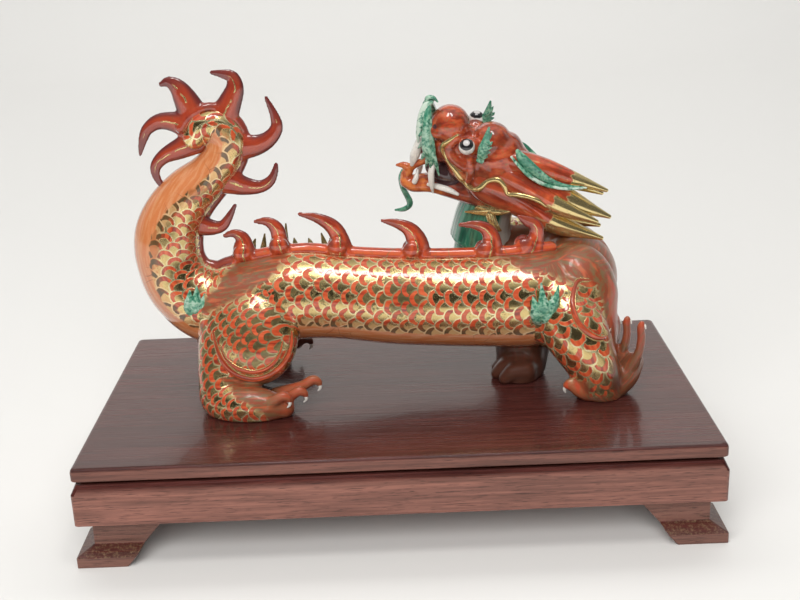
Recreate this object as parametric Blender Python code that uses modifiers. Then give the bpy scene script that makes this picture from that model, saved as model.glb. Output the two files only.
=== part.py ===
"""A porcelain dragon standing on a hardwood stand, in metres, +Z up.

The origin is on the ground under the middle of the stand. +X runs along the
stand towards the dragon's chest and +Y towards its far side. The dragon is one
cast piece: tubes and balls fused by a voxel remesh, then cut flat under the
paws. The stand is a top board, a recessed waist, an apron board and four
bracket feet. The dragon's stations count in units of which FIGURE_UNITS make
its length, measured from the middle of the stand's top.
"""

import bmesh
import bpy
import numpy as np
from mathutils import Matrix, Vector

# Stand, from the ground up
FOOT_HEIGHT = 0.0258
FOOT_WIDTH_TOP = 0.042
FOOT_ARM = 0.015
PAD_WIDTH = 0.0285
FOOT_INSET = 0.0076
PAD_STEP = 0.0010
PAD_HEIGHT = 0.0062
PAD_FLARE_HEIGHT = 0.0040
APRON_HEIGHT = 0.0242
APRON_STEP = 0.0010
APRON_CHAMFER_HEIGHT = 0.0055
APRON_CHAMFER_DEPTH = 0.0026
WAIST_HEIGHT = 0.0020
WAIST_INSET = 0.0042
TOP_LENGTH = 0.360
TOP_DEPTH = 0.196
TOP_THICKNESS = 0.0082
TOP_EDGE_RADIUS = 0.0022
CORNER_RADIUS = 0.0025
CORNER_STEPS = 4
JOINT_GAP = 0.0003

# Dragon: its whole length along X, which carries its pose
FIGURE_LENGTH = 0.304
FIGURE_UNITS = 304.0
UNIT = FIGURE_LENGTH / FIGURE_UNITS
VOXEL = 1.35 * UNIT
SMOOTH_STEPS = 2
TRIANGLE_SHARE = 0.041
SOLE_CUT_DEPTH = 0.02
TUBE_ROUNDNESS = 4
PATH_STEPS = 5
BALL_SEGMENTS = 20
BALL_RINGS = 12

# Head frame: the middle between the eyes, and the nose's and far eye's directions
EYE_MIDDLE = Vector((52.0, 41.0, 147.7))
HEAD_FAR = Vector((0.23, 0.93, 0.28)).normalized()
HEAD_FRONT = Vector((-0.92, 0.0, 0.38))
HEAD_FRONT = (HEAD_FRONT - HEAD_FAR * HEAD_FRONT.dot(HEAD_FAR)).normalized()
HEAD_UP = HEAD_FAR.cross(HEAD_FRONT)


def clear_scene():
    """Remove every object that the new file came with."""
    for thing in list(bpy.data.objects):
        bpy.data.objects.remove(thing, do_unlink=True)


def new_collection(name):
    """Return a collection of this name, linked to the scene."""
    collection = bpy.data.collections.new(name)
    bpy.context.scene.collection.children.link(collection)
    return collection


def finish(name, colour, roughness, metallic=0.0):
    """Return a Principled material."""
    material = bpy.data.materials.new(name)
    material.use_nodes = True
    shader = material.node_tree.nodes["Principled BSDF"]
    shader.inputs["Base Color"].default_value = (*colour, 1.0)
    shader.inputs["Roughness"].default_value = roughness
    shader.inputs["Metallic"].default_value = metallic
    return material


def add_mesh(name, mesh, collection, material=None):
    """Put a mesh into the scene as an object."""
    thing = bpy.data.objects.new(name, mesh)
    collection.objects.link(thing)
    if material:
        mesh.materials.clear()
        mesh.materials.append(material)
    return thing


def smooth_path(stations):
    """Catmull-Rom curve through rows of x, y, z, radius."""
    rows = np.array(stations, dtype=float)
    rows = np.vstack([2 * rows[0] - rows[1], rows, 2 * rows[-1] - rows[-2]])
    path = []
    for i in range(1, len(rows) - 2):
        a, b, c, d = rows[i - 1:i + 3]
        for t in np.arange(PATH_STEPS) / PATH_STEPS:
            path.append(0.5 * (2 * b + (c - a) * t + (2 * a - 5 * b + 4 * c - d) * t ** 2
                               + (3 * b - a - 3 * c + d) * t ** 3))
    path.append(rows[-2])
    path = np.array(path)
    path[:, 3] = np.maximum(path[:, 3], rows[:, 3].min())
    return path


class Figure:
    """Collects the overlapping shapes that are fused into one cast piece."""

    def __init__(self):
        self.shapes = bmesh.new()

    def absorb(self, mesh, matrix):
        """Weld a mesh's caps and add it to the shapes."""
        piece = bmesh.new()
        piece.from_mesh(mesh)
        bmesh.ops.remove_doubles(piece, verts=piece.verts, dist=0.00001)
        bmesh.ops.transform(piece, matrix=matrix, verts=piece.verts)
        bmesh.ops.recalc_face_normals(piece, faces=piece.faces)
        welded = bpy.data.meshes.new("shape")
        piece.to_mesh(welded)
        piece.free()
        self.shapes.from_mesh(welded)
        bpy.data.meshes.remove(welded)
        bpy.data.meshes.remove(mesh)

    def tube(self, stations, flat=None):
        """Sweep a round section along stations of x, y, z, radius.

        flat is a direction to press the tube thin along and how thin, as a share.
        """
        path = smooth_path(stations)
        middle = Vector(path[:, :3].mean(axis=0))
        curve = bpy.data.curves.new("tube", "CURVE")
        curve.dimensions = "3D"
        curve.bevel_depth = 1.0
        curve.bevel_resolution = TUBE_ROUNDNESS
        curve.use_fill_caps = True
        press = Matrix.Identity(3)
        if flat:
            press = Matrix.Scale(flat[1], 3, flat[0])
        unpress = press.inverted()
        spline = curve.splines.new("POLY")
        spline.points.add(len(path) - 1)
        for point, (x, y, z, radius) in zip(spline.points, path):
            place = unpress @ (Vector((x, y, z)) - middle)
            point.co = (*place, 1.0)
            point.radius = radius
        holder = bpy.data.objects.new("tube", curve)
        bpy.context.scene.collection.objects.link(holder)
        graph = bpy.context.evaluated_depsgraph_get()
        mesh = bpy.data.meshes.new_from_object(holder.evaluated_get(graph))
        bpy.data.objects.remove(holder, do_unlink=True)
        bpy.data.curves.remove(curve)
        matrix = Matrix.Scale(UNIT, 4) @ Matrix.Translation(middle) @ press.to_4x4()
        self.absorb(mesh, matrix)

    def ball(self, centre, radii, axes=None):
        """Add an ellipsoid, its radii along x, y, z or along the given axes."""
        ball = bmesh.new()
        bmesh.ops.create_uvsphere(ball, u_segments=BALL_SEGMENTS, v_segments=BALL_RINGS,
                                  radius=1.0)
        mesh = bpy.data.meshes.new("ball")
        ball.to_mesh(mesh)
        ball.free()
        turn = Matrix(axes).transposed().to_4x4() if axes else Matrix.Identity(4)
        matrix = (Matrix.Scale(UNIT, 4) @ Matrix.Translation(Vector(centre)) @ turn
                  @ Matrix.Diagonal((*radii, 1.0)))
        self.absorb(mesh, matrix)


def head_place(front, far, up):
    """Turn head-frame distances into a place in the figure."""
    return EYE_MIDDLE + HEAD_FRONT * front + HEAD_FAR * far + HEAD_UP * up


def head_stations(rows, side=-1):
    """Head-frame rows of front, side distance, up, radius as stations; side -1 is the near side."""
    return [(*head_place(front, side * out, up), radius) for front, out, up, radius in rows]


HEAD_AXES = (HEAD_FRONT, HEAD_FAR, HEAD_UP)

# Middle line of tail, trunk and neck: x, y, height over the board, radius
SPINE = [
    (-112, 6, 159, 7), (-107, 7, 164.5, 8.6), (-99, 9, 165, 9.8), (-93.5, 10, 157, 11),
    (-96.5, 11, 146.5, 12), (-106, 12, 135.5, 13.2), (-119, 12, 124.5, 16), (-129, 12, 112, 18.3),
    (-134.5, 11, 98, 20), (-134, 10, 82, 20.3), (-127, 9, 67, 21.8), (-110, 8, 56, 25),
    (-84, 8, 56, 28), (-57, 8, 60, 28), (-31, 8, 58, 27), (4, 8, 54, 28),
    (53, 8, 51.5, 29), (88, 9, 51.5, 30), (106, 21, 52, 28.5), (115, 38, 55, 27.5),
    (112, 56, 59, 26), (97, 68, 61, 24), (76, 71, 63, 22), (62, 67, 71, 19.5),
    (60, 60, 88, 17), (64, 54, 104, 15.5), (70, 48, 120, 16),
]
BODY_Y = 8.0

# Ridge bead along the back: station numbers, its radius there, and how far it stands proud
RIDGE_MARKS = (0, 3, 9, 12, 18)
RIDGE_RADII = (3.2, 3.2, 3.4, 4.3, 4.3)
RIDGE_PROUD = (5.4, 2.6, 1.6, 4.2, 4.6)
RIDGE_SPACING = 3

# Flames: base first, as x, height, half width; y follows the back
TAIL_FLAMES = [
    [(-95, 132, 8.5), (-86, 128.5, 6), (-77, 127.5, 4.2), (-71, 130, 3.4), (-67.5, 135, 2.5),
     (-66, 140.5, 1.7)],
    [(-88, 152, 9), (-77, 152.5, 6.5), (-69, 156, 5), (-64, 162.5, 3.9), (-65, 170, 2.8),
     (-69, 180, 1.6)],
    [(-95, 169, 9), (-90, 178, 7), (-86.5, 186, 5.5), (-87.5, 192.5, 4), (-93, 194.5, 2.8),
     (-99, 195.5, 1.8)],
    [(-111, 170, 9), (-115, 180, 7.5), (-119, 187.5, 5.5), (-124, 191, 3.6), (-128.5, 190, 2)],
    [(-113, 164, 8.5), (-123, 168, 6.3), (-132, 168.5, 4.8), (-139, 164.5, 3.7), (-142.5, 158, 2.8),
     (-145, 149.5, 1.5)],
    [(-112, 156, 7.5), (-122, 152, 6.3), (-131, 148, 4.6), (-136.5, 142.5, 3.5), (-137, 136.5, 2.7),
     (-134, 130, 2.2)],
    [(-118, 107, 8), (-108, 104, 5.4), (-101, 104.5, 3.7), (-96.5, 109.5, 2.7), (-92, 117, 1.6)],
]
BACK_FLAMES = [
    [(-88, 80, 9), (-89, 89, 7), (-89.5, 96, 4.8), (-94, 99.4, 3), (-100, 98.2, 1.6)],
    [(-66, 84, 8), (-67, 94, 5.2), (-68.5, 101.5, 4.6), (-73.5, 106, 3.2), (-81, 106.5, 1.6)],
    [(-31, 82, 9.5), (-30.5, 92, 6), (-34.5, 101, 5), (-43, 106.8, 3.4), (-54, 110, 1.6)],
    [(14, 78, 10), (15.5, 89, 7), (11.5, 97.5, 5), (4, 101.7, 3.2), (-5, 104, 1.6)],
    [(58, 76, 9.5), (60.5, 88, 6.2), (58, 95.5, 4.5), (51, 99, 3.1), (41.5, 99.5, 1.6)],
    [(82, 77, 9.5), (87.5, 88.5, 5.4), (87.5, 96, 4.2), (82, 99.5, 3.4), (77, 102.5, 1.6)],
]
FLAME_THINNESS = 0.5

# How far the haunches lean in at the top, in radians
HAUNCH_LEAN = 0.42


def flame_depth(x):
    """y of the back's middle line over this x, for the flames that stand on it."""
    return float(np.interp(x, [-130, -100, -60, 60, 90], [8, 9, BODY_Y, BODY_Y, 12]))


def add_spine(figure):
    """Tail, trunk and neck as one tapering tube, with the bead of the back ridge."""
    figure.tube(SPINE)
    figure.ball(SPINE[0][:3], (SPINE[0][3],) * 3)
    path = smooth_path(SPINE)
    steps = np.gradient(path[:, :3], axis=0)
    steps /= np.linalg.norm(steps, axis=1)[:, None]
    outward = np.cross(steps, (0.0, 1.0, 0.0))
    outward /= np.linalg.norm(outward, axis=1)[:, None]
    marks = np.array(RIDGE_MARKS) * PATH_STEPS
    along = np.arange(marks[-1])
    radius = np.interp(along, marks, RIDGE_RADII)
    proud = np.interp(along, marks, RIDGE_PROUD)
    lift = path[along, 3] + proud - radius
    bead = path[along, :3] + outward[along] * lift[:, None]
    figure.tube([(*place, size) for place, size in zip(bead[::RIDGE_SPACING], radius[::RIDGE_SPACING])])


def add_flames(figure):
    """Flat hooked flames along the tail and the back, thin across the body."""
    across = Vector((0.0, 1.0, 0.0))
    for flame in TAIL_FLAMES + BACK_FLAMES:
        y = flame_depth(flame[0][0])
        figure.tube([(x, y, z, radius) for x, z, radius in flame], (across, FLAME_THINNESS))


def across_body(y, side):
    """Carry a near-side y over to the far side where side is +1."""
    return y if side < 0 else 2 * BODY_Y - y


def add_hind_leg(figure, side):
    """Haunch, shank, flat foot and three raised toes with claws."""
    back = 0 if side < 0 else 9

    def put(rows):
        return [(x - back, across_body(y, side), z, radius) for x, y, z, radius in rows]
    lean = Matrix.Rotation(side * HAUNCH_LEAN, 3, "X")
    figure.ball((-83.5 - back, across_body(-16, side), 43), (26, 18, 30), tuple(lean.col))
    figure.tube(put([(-94, -8, 50, 18), (-101.5, -12, 40, 16), (-104.5, -17, 28, 14.2),
                     (-105.5, -23, 17, 13), (-106, -28, 8, 11.5), (-98, -34, 7, 12),
                     (-87, -37, 7, 12), (-76, -38, 6, 10), (-67, -38, 5, 6.5)]))
    for outer, height, reach in ((-44, 0, -7), (-35, -1, 2), (-26, 2, 10)):
        figure.tube(put([(-78 + reach / 2, outer + 4, 6, 5), (-67 + reach, outer, 11 + height, 3.6),
                         (-60 + reach, outer, 15 + height, 3.2),
                         (-56 + reach, outer, 13 + height, 2.6),
                         (-57 + reach, outer, 7 + height, 1.6)]))
    for lean, tip in ((-4, 69), (0, 75), (4, 72)):
        figure.tube(put([(-118, -11, 56, 4.5), (-119 + lean / 2, -13, 64, 3),
                         (-119 + lean, -13, tip, 1.5)]))


def add_near_fore_leg(figure):
    """Standing fore leg whose paw turns out to the right with three raised toes."""
    figure.ball((101, -8, 47), (24, 19, 24))
    for lean, tip in ((-6, 64), (-1, 70), (6, 68)):
        figure.tube([(88, -17, 52, 6), (87 + lean / 2, -18, 59, 3.6), (87 + lean, -19, tip, 1.5)])
    figure.tube([(104, -14, 44, 20), (110, -22, 34, 18.5), (116, -26, 22, 16), (120, -27, 10, 14),
                 (123, -26, 2, 12)])
    figure.tube([(108, 16, 76, 12), (110, 11, 66, 22), (113, 6, 54, 24), (115, 0, 42, 21.5),
                 (118, -6, 30, 18), (120, -12, 20, 14)])
    figure.tube([(115, -28, 3, 8), (126, -26, 4, 9), (137, -23, 10, 8), (143, -20, 18, 6)])
    for y, x, top in ((-26, 144.5, 45), (-14, 138.5, 44), (-3, 134.5, 40)):
        figure.tube([(x - 8, y + 2, 11, 5.5), (x - 1, y, 24, 3.2), (x + 1, y, 34, 2.8),
                     (x, y, top - 3, 2.8), (x + 3, y, top, 1.8)])
    figure.tube([(115, -32, 3, 5), (107, -34, 7, 3.6), (103, -34, 12, 3), (99.5, -34, 10, 2.2),
                 (99, -34, 6, 1.6)])


def add_far_fore_leg(figure):
    """Fore leg on the far side, stepping in under the chest."""
    figure.tube([(88, 26, 38, 22), (82, 24, 26, 18.5), (80, 18, 14, 17), (79, 11, 6, 15),
                 (77, 5, 3, 12)])
    for y, x in ((-3, 70), (6, 66), (15, 67)):
        figure.tube([(x + 10, y + 2, 7, 7), (x + 2, y, 7, 5.4), (x - 3, y, 3, 4.2)])


def add_skull(figure):
    """Cranium, brow, nose bulb, muzzle, cheeks, and the tube down to the neck."""
    for place, radii in (((-19, 0, -10), (18, 17, 17.5)), ((-8, 0, 0), (13, 14, 13)),
                         ((14.6, 0, -0.5), (12.5, 13, 12.8)), ((-6, 0, -17), (16, 17, 15)),
                         ((-22, 0, -26), (17, 17, 14))):
        figure.ball(head_place(*place), radii, HEAD_AXES)
    figure.tube(head_stations([(4, 0, -8, 12), (13, 0, -15, 11.5), (17, 0, -21, 9)]))
    figure.tube(head_stations([(-22, 0, -16, 16), (-40, 0, -16, 14), (-58, 0, -16, 10),
                               (-70, 0, -16, 6)]))


def add_jaw(figure):
    """Lower jaw, forked tongue, goatee and the small beard tuft under the jaw."""
    figure.tube(head_stations([(-22, 0, -33, 11), (-6, 0, -39, 7.5), (10, 0, -43.5, 5.8),
                               (20, 0, -49, 5.2), (26, 0, -50, 4)]), (HEAD_FAR, 1.5))
    figure.tube(head_stations([(20, 0, -50, 4.4), (27, 0, -47, 3.8), (27, 0, -41, 3.2),
                               (31, 0, -40, 2.4), (35, 0, -42, 1.5)]))
    figure.tube(head_stations([(27, 0, -41, 2.6), (24, 2, -34, 2.6), (18, 4, -27, 2.2)]))
    figure.ball(head_place(6, 0, -33), (13, 8, 6.5), HEAD_AXES)
    figure.tube(head_stations([(25, 0, -51, 3.4), (19, 0, -60, 3.2), (18, 0, -67, 2.6),
                               (23, 0, -74, 1.8)]))
    for side in (-1, 1):
        figure.tube(head_stations([(-34, 13, -32, 8), (-28, 14, -41, 5), (-17, 14, -45, 1.8)], side))


def add_face(figure):
    """Eyes, brows, moustache, upper fangs and the raised frill, on both sides."""
    for side in (-1, 1):
        figure.ball(head_place(0, side * 16, 0), (5, 5, 5), HEAD_AXES)
        figure.tube(head_stations([(-9, 16, -8, 2.4), (-10, 16.5, 2, 3.4), (-6, 16, 11, 2.6),
                                   (-1, 16, 18, 1.6)], side))
        figure.tube(head_stations([(32, 2, 8, 2.4), (28, 6, 0, 3.6), (24, 10, -8, 3.6),
                                   (17, 12, -20, 3), (9, 13, -29, 1.8)], side))
        figure.tube(head_stations([(14, 10, -22, 3.2), (12, 11, -33, 2.6), (8, 11, -42, 1.6)], side))
        figure.tube(head_stations([(8, 12.5, 2, 1.8), (14, 11.5, -8, 2), (9, 14, -15, 2),
                                   (1, 16.5, -18, 2), (-6, 17, -23, 2), (-13, 17, -24, 2),
                                   (-19, 17.5, -14, 2), (-26, 17.5, -9, 2), (-33, 17, -13, 2),
                                   (-42, 15.5, -13, 2), (-52, 13, -12, 1.8)], side))


def add_mane(figure):
    """Horns, ears and the three swept locks on each side, lower on the far side."""
    for side, drop, spread in ((-1, 0, 1), (1, 8, 0.75)):
        def lay(rows):
            return head_stations([(front, out * spread, up - drop, radius)
                                  for front, out, up, radius in rows], side)
        figure.tube(lay([(-30, 8, -1, 7.5), (-48, 7, 1, 7), (-66, 6, 2, 5), (-89, 5, 3.5, 1.6)]))
        figure.tube(lay([(-46, 8, -10, 8), (-75, 9, -11, 5.8), (-98, 8, -11, 1.8)]))
        figure.tube(lay([(-34, 12, -12, 8), (-64, 15, -14, 6.5), (-91, 16, -13, 1.8)]))
        figure.tube(lay([(-20, 9, -24, 11), (-42, 10, -24, 10), (-70, 13, -27, 7), (-99, 15, -23, 1.8)]))
        figure.tube(lay([(-27, 14, 6, 2.2), (-38, 14, 5, 4.6), (-54, 13, 3, 3.4), (-72, 11, 3, 1.6)]),
                    (HEAD_FAR, 0.6))


def build_dragon(collection, cutters, material, board_top):
    """Fuse all shapes, lighten the mesh and cut the soles flat over the board."""
    figure = Figure()
    add_spine(figure)
    add_flames(figure)
    for side in (-1, 1):
        add_hind_leg(figure, side)
    add_near_fore_leg(figure)
    add_far_fore_leg(figure)
    add_skull(figure)
    add_jaw(figure)
    add_face(figure)
    add_mane(figure)
    mesh = bpy.data.meshes.new("dragon")
    figure.shapes.to_mesh(mesh)
    figure.shapes.free()
    mesh.transform(Matrix.Translation((0.0, 0.0, board_top)))
    dragon = add_mesh("dragon", mesh, collection, material)

    fuse = dragon.modifiers.new("fuse", "REMESH")
    fuse.mode = "VOXEL"
    fuse.voxel_size = VOXEL
    fuse.use_smooth_shade = True
    soften = dragon.modifiers.new("soften", "SMOOTH")
    soften.factor = 0.5
    soften.iterations = SMOOTH_STEPS
    lighten = dragon.modifiers.new("lighten", "DECIMATE")
    lighten.ratio = TRIANGLE_SHARE

    block = bmesh.new()
    bmesh.ops.create_cube(block, size=1.0)
    bmesh.ops.scale(block, vec=(TOP_LENGTH * 2, TOP_DEPTH * 2, SOLE_CUT_DEPTH), verts=block.verts)
    sole_mesh = bpy.data.meshes.new("sole_cutter")
    block.to_mesh(sole_mesh)
    block.free()
    cutter = add_mesh("sole_cutter", sole_mesh, cutters)
    cutter.location = (0.0, 0.0, board_top + JOINT_GAP - SOLE_CUT_DEPTH / 2)
    cutter.hide_render = True
    cutter.display_type = "WIRE"
    soles = dragon.modifiers.new("soles", "BOOLEAN")
    soles.operation = "DIFFERENCE"
    soles.solver = "EXACT"
    soles.object = cutter
    return dragon


def rounded_ring(half_x, half_y, radius, steps):
    """Corners of a rectangle with quarter-circle corners, going round anticlockwise."""
    ring = []
    for sign_x, sign_y, start in ((1, 1, 0), (-1, 1, 90), (-1, -1, 180), (1, -1, 270)):
        for step in range(steps + 1):
            turn = np.radians(start + 90 * step / steps)
            ring.append((sign_x * (half_x - radius) + radius * np.cos(turn),
                         sign_y * (half_y - radius) + radius * np.sin(turn)))
    return ring


def loft(rings):
    """Closed solid through rings of equally many points, given as (height, points)."""
    solid = bmesh.new()
    rows = [[solid.verts.new((x, y, height)) for x, y in points] for height, points in rings]
    count = len(rows[0])
    for lower, upper in zip(rows, rows[1:]):
        for i in range(count):
            j = (i + 1) % count
            solid.faces.new((lower[i], lower[j], upper[j], upper[i]))
    solid.faces.new(list(reversed(rows[0])))
    solid.faces.new(rows[-1])
    mesh = bpy.data.meshes.new("loft")
    solid.to_mesh(mesh)
    solid.free()
    return mesh


def board(name, collection, material, levels):
    """Board through (height, inset from the top board's outline, corner radius) levels."""
    rings = [(height, rounded_ring(TOP_LENGTH / 2 - inset, TOP_DEPTH / 2 - inset, radius, CORNER_STEPS))
             for height, inset, radius in levels]
    thing = add_mesh(name, loft(rings), collection, material)
    thing.data.shade_smooth()
    thing.data.set_sharp_from_angle(angle=np.radians(30))
    return thing


def build_boards(collection, material):
    """Apron, waist and top board; returns the height of the finished top."""
    low = FOOT_HEIGHT
    chamfer_start = low + APRON_HEIGHT - APRON_CHAMFER_HEIGHT
    high = low + APRON_HEIGHT
    board("plinth_apron", collection, material,
          [(low, -APRON_STEP, CORNER_RADIUS), (chamfer_start, -APRON_STEP, CORNER_RADIUS),
           (high, APRON_CHAMFER_DEPTH - APRON_STEP, CORNER_RADIUS)])
    low = high + JOINT_GAP
    high = high + WAIST_HEIGHT
    board("plinth_waist", collection, material,
          [(low, WAIST_INSET, CORNER_RADIUS), (high, WAIST_INSET, CORNER_RADIUS)])
    low = high + JOINT_GAP
    top = high + TOP_THICKNESS
    levels = [(low, TOP_EDGE_RADIUS / 3, CORNER_RADIUS), (low + TOP_EDGE_RADIUS / 3, 0, CORNER_RADIUS)]
    for turn in np.radians([0, 30, 60, 90]):
        levels.append((top - TOP_EDGE_RADIUS * (1 - np.sin(turn)), TOP_EDGE_RADIUS * (1 - np.cos(turn)),
                       CORNER_RADIUS))
    board("plinth_top", collection, material, levels)
    return top


def build_foot(name, collection, cutters, material, side_x, side_y):
    """Bracket foot: an L in plan, sloping in at its open sides, with a flared pad below."""
    corner_x = TOP_LENGTH / 2
    corner_y = TOP_DEPTH / 2
    top = FOOT_HEIGHT - JOINT_GAP
    pad_out = -PAD_STEP - APRON_STEP
    block_out = FOOT_INSET - APRON_STEP
    inner_low = pad_out + PAD_WIDTH
    inner_high = block_out + FOOT_WIDTH_TOP
    rings = []
    for height, outer in ((0.0, pad_out), (PAD_HEIGHT, pad_out),
                          (PAD_HEIGHT + PAD_FLARE_HEIGHT, block_out), (top, block_out)):
        inner = inner_low + (inner_high - inner_low) * height / FOOT_HEIGHT
        xs = sorted((side_x * (corner_x - outer), side_x * (corner_x - inner)))
        ys = sorted((side_y * (corner_y - outer), side_y * (corner_y - inner)))
        rings.append((height, [(xs[0], ys[0]), (xs[1], ys[0]), (xs[1], ys[1]), (xs[0], ys[1])]))
    foot = add_mesh(name, loft(rings), collection, material)

    hollow = bmesh.new()
    bmesh.ops.create_cube(hollow, size=1.0)
    reach = FOOT_WIDTH_TOP * 2
    bmesh.ops.scale(hollow, vec=(reach, reach, FOOT_HEIGHT * 3), verts=hollow.verts)
    mesh = bpy.data.meshes.new(name + "_hollow")
    hollow.to_mesh(mesh)
    hollow.free()
    cutter = add_mesh(name + "_hollow", mesh, cutters)
    start = block_out + FOOT_ARM + reach / 2
    cutter.location = (side_x * (corner_x - start), side_y * (corner_y - start), FOOT_HEIGHT / 2)
    cutter.hide_render = True
    cutter.display_type = "WIRE"
    cut = foot.modifiers.new("open_inside", "BOOLEAN")
    cut.operation = "DIFFERENCE"
    cut.solver = "EXACT"
    cut.object = cutter
    return foot


def main():
    """Build the stand from the ground up, and the dragon on it."""
    clear_scene()
    parts = new_collection("dragon_sculpture")
    cutters = new_collection("cutters")
    wood = finish("dark_hardwood", (0.16, 0.055, 0.04), 0.35)
    porcelain = finish("iron_red_porcelain", (0.62, 0.10, 0.035), 0.12)
    for depth_name, side_y in (("front", -1), ("back", 1)):
        for length_name, side_x in (("left", -1), ("right", 1)):
            name = f"plinth_foot_{depth_name}_{length_name}"
            build_foot(name, parts, cutters, wood, side_x, side_y)
    top = build_boards(parts, wood)
    build_dragon(parts, cutters, porcelain, top)


main()
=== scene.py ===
"""Looks of a glazed porcelain dragon on a dark hardwood stand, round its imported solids.

Places are written as stations in millimetres: x along the stand, y away from the
viewer, z above the stand's top. The dragon's skin, crest and head are swept
surfaces fused into one skin each, and the small glazed pieces are swept surfaces
that stand on them. Each has painting worked out from distances along and round
its own centre lines.
"""

import logging
from dataclasses import dataclass
from enum import Enum
from typing import Callable, Iterator, Optional, Sequence, Union

import bpy
import numpy as np
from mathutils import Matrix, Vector
from mathutils.bvhtree import BVHTree


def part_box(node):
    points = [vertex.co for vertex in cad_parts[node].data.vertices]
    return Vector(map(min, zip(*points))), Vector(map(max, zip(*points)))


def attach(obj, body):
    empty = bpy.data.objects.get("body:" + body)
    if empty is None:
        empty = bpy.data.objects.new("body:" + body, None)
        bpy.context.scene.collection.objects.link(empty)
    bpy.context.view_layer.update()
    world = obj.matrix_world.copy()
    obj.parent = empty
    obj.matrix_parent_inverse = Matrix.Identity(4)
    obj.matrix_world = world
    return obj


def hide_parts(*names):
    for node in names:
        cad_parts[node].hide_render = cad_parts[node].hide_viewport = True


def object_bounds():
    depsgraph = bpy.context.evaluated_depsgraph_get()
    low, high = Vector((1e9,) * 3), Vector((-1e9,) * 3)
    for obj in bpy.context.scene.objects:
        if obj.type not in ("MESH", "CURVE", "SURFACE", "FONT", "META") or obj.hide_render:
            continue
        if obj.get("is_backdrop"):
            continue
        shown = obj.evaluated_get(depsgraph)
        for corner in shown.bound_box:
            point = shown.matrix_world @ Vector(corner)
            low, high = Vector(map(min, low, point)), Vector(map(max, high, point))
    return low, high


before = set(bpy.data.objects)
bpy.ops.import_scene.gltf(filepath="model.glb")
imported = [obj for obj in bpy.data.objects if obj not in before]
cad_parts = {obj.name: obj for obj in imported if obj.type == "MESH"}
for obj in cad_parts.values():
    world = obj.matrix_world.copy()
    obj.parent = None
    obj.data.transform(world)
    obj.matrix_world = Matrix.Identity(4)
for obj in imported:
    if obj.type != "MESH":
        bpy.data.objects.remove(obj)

START_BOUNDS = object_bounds()
BOARD_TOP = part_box("plinth_top")[1].z
MM = 0.001
SOLE_GAP = 0.3
LOG = logging.getLogger("dragon")

Rows = Sequence[Sequence[float]]
Colour = tuple[float, float, float]


class Slot(Enum):
    """Material slots of the record."""

    PORCELAIN = "iron_red_porcelain"
    WOOD = "dark_hardwood"


class Side(Enum):
    """Which side of the dragon: the viewer's, or the one away from it."""

    NEAR = -1
    FAR = 1


# Shader arithmetic


class Value:
    """A number that changes over a surface; Python's operators add Math nodes to it."""

    def __init__(self, tree: "Tree", socket: bpy.types.NodeSocket) -> None:
        """Wrap an output socket of a tree."""
        self.tree = tree
        self.socket = socket

    def _math(self, operation: str, first: "Number", second: "Number") -> "Value":
        """Join two numbers with one Math node."""
        return self.tree.value("ShaderNodeMath", {"operation": operation}, {0: first, 1: second})

    def __add__(self, other: "Number") -> "Value":
        """self + other"""
        return self._math("ADD", self, other)

    def __radd__(self, other: "Number") -> "Value":
        """other + self"""
        return self._math("ADD", other, self)

    def __sub__(self, other: "Number") -> "Value":
        """self - other"""
        return self._math("SUBTRACT", self, other)

    def __rsub__(self, other: "Number") -> "Value":
        """other - self"""
        return self._math("SUBTRACT", other, self)

    def __mul__(self, other: "Number") -> "Value":
        """self * other"""
        return self._math("MULTIPLY", self, other)

    def __rmul__(self, other: "Number") -> "Value":
        """other * self"""
        return self._math("MULTIPLY", other, self)

    def __truediv__(self, other: "Number") -> "Value":
        """self / other"""
        return self._math("DIVIDE", self, other)

    def __pow__(self, other: "Number") -> "Value":
        """self ** other"""
        return self._math("POWER", self, other)

    def __mod__(self, other: "Number") -> "Value":
        """self % other, never below zero"""
        return self._math("FLOORED_MODULO", self, other)

    def __floordiv__(self, other: "Number") -> "Value":
        """Whole steps of other in self"""
        return self._math("FLOOR", self / other, 0.0)

    def __lt__(self, other: "Number") -> "Value":
        """1 where self is less, else 0"""
        return self._math("LESS_THAN", self, other)

    def __abs__(self) -> "Value":
        """abs(self)"""
        return self._math("ABSOLUTE", self, 0.0)

    def least(self, other: "Number") -> "Value":
        """The smaller of both."""
        return self._math("MINIMUM", self, other)

    def most(self, other: "Number") -> "Value":
        """The larger of both."""
        return self._math("MAXIMUM", self, other)


Number = Union[Value, float, int]
Input = Union[Value, bpy.types.NodeSocket, float, int, tuple]


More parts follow.
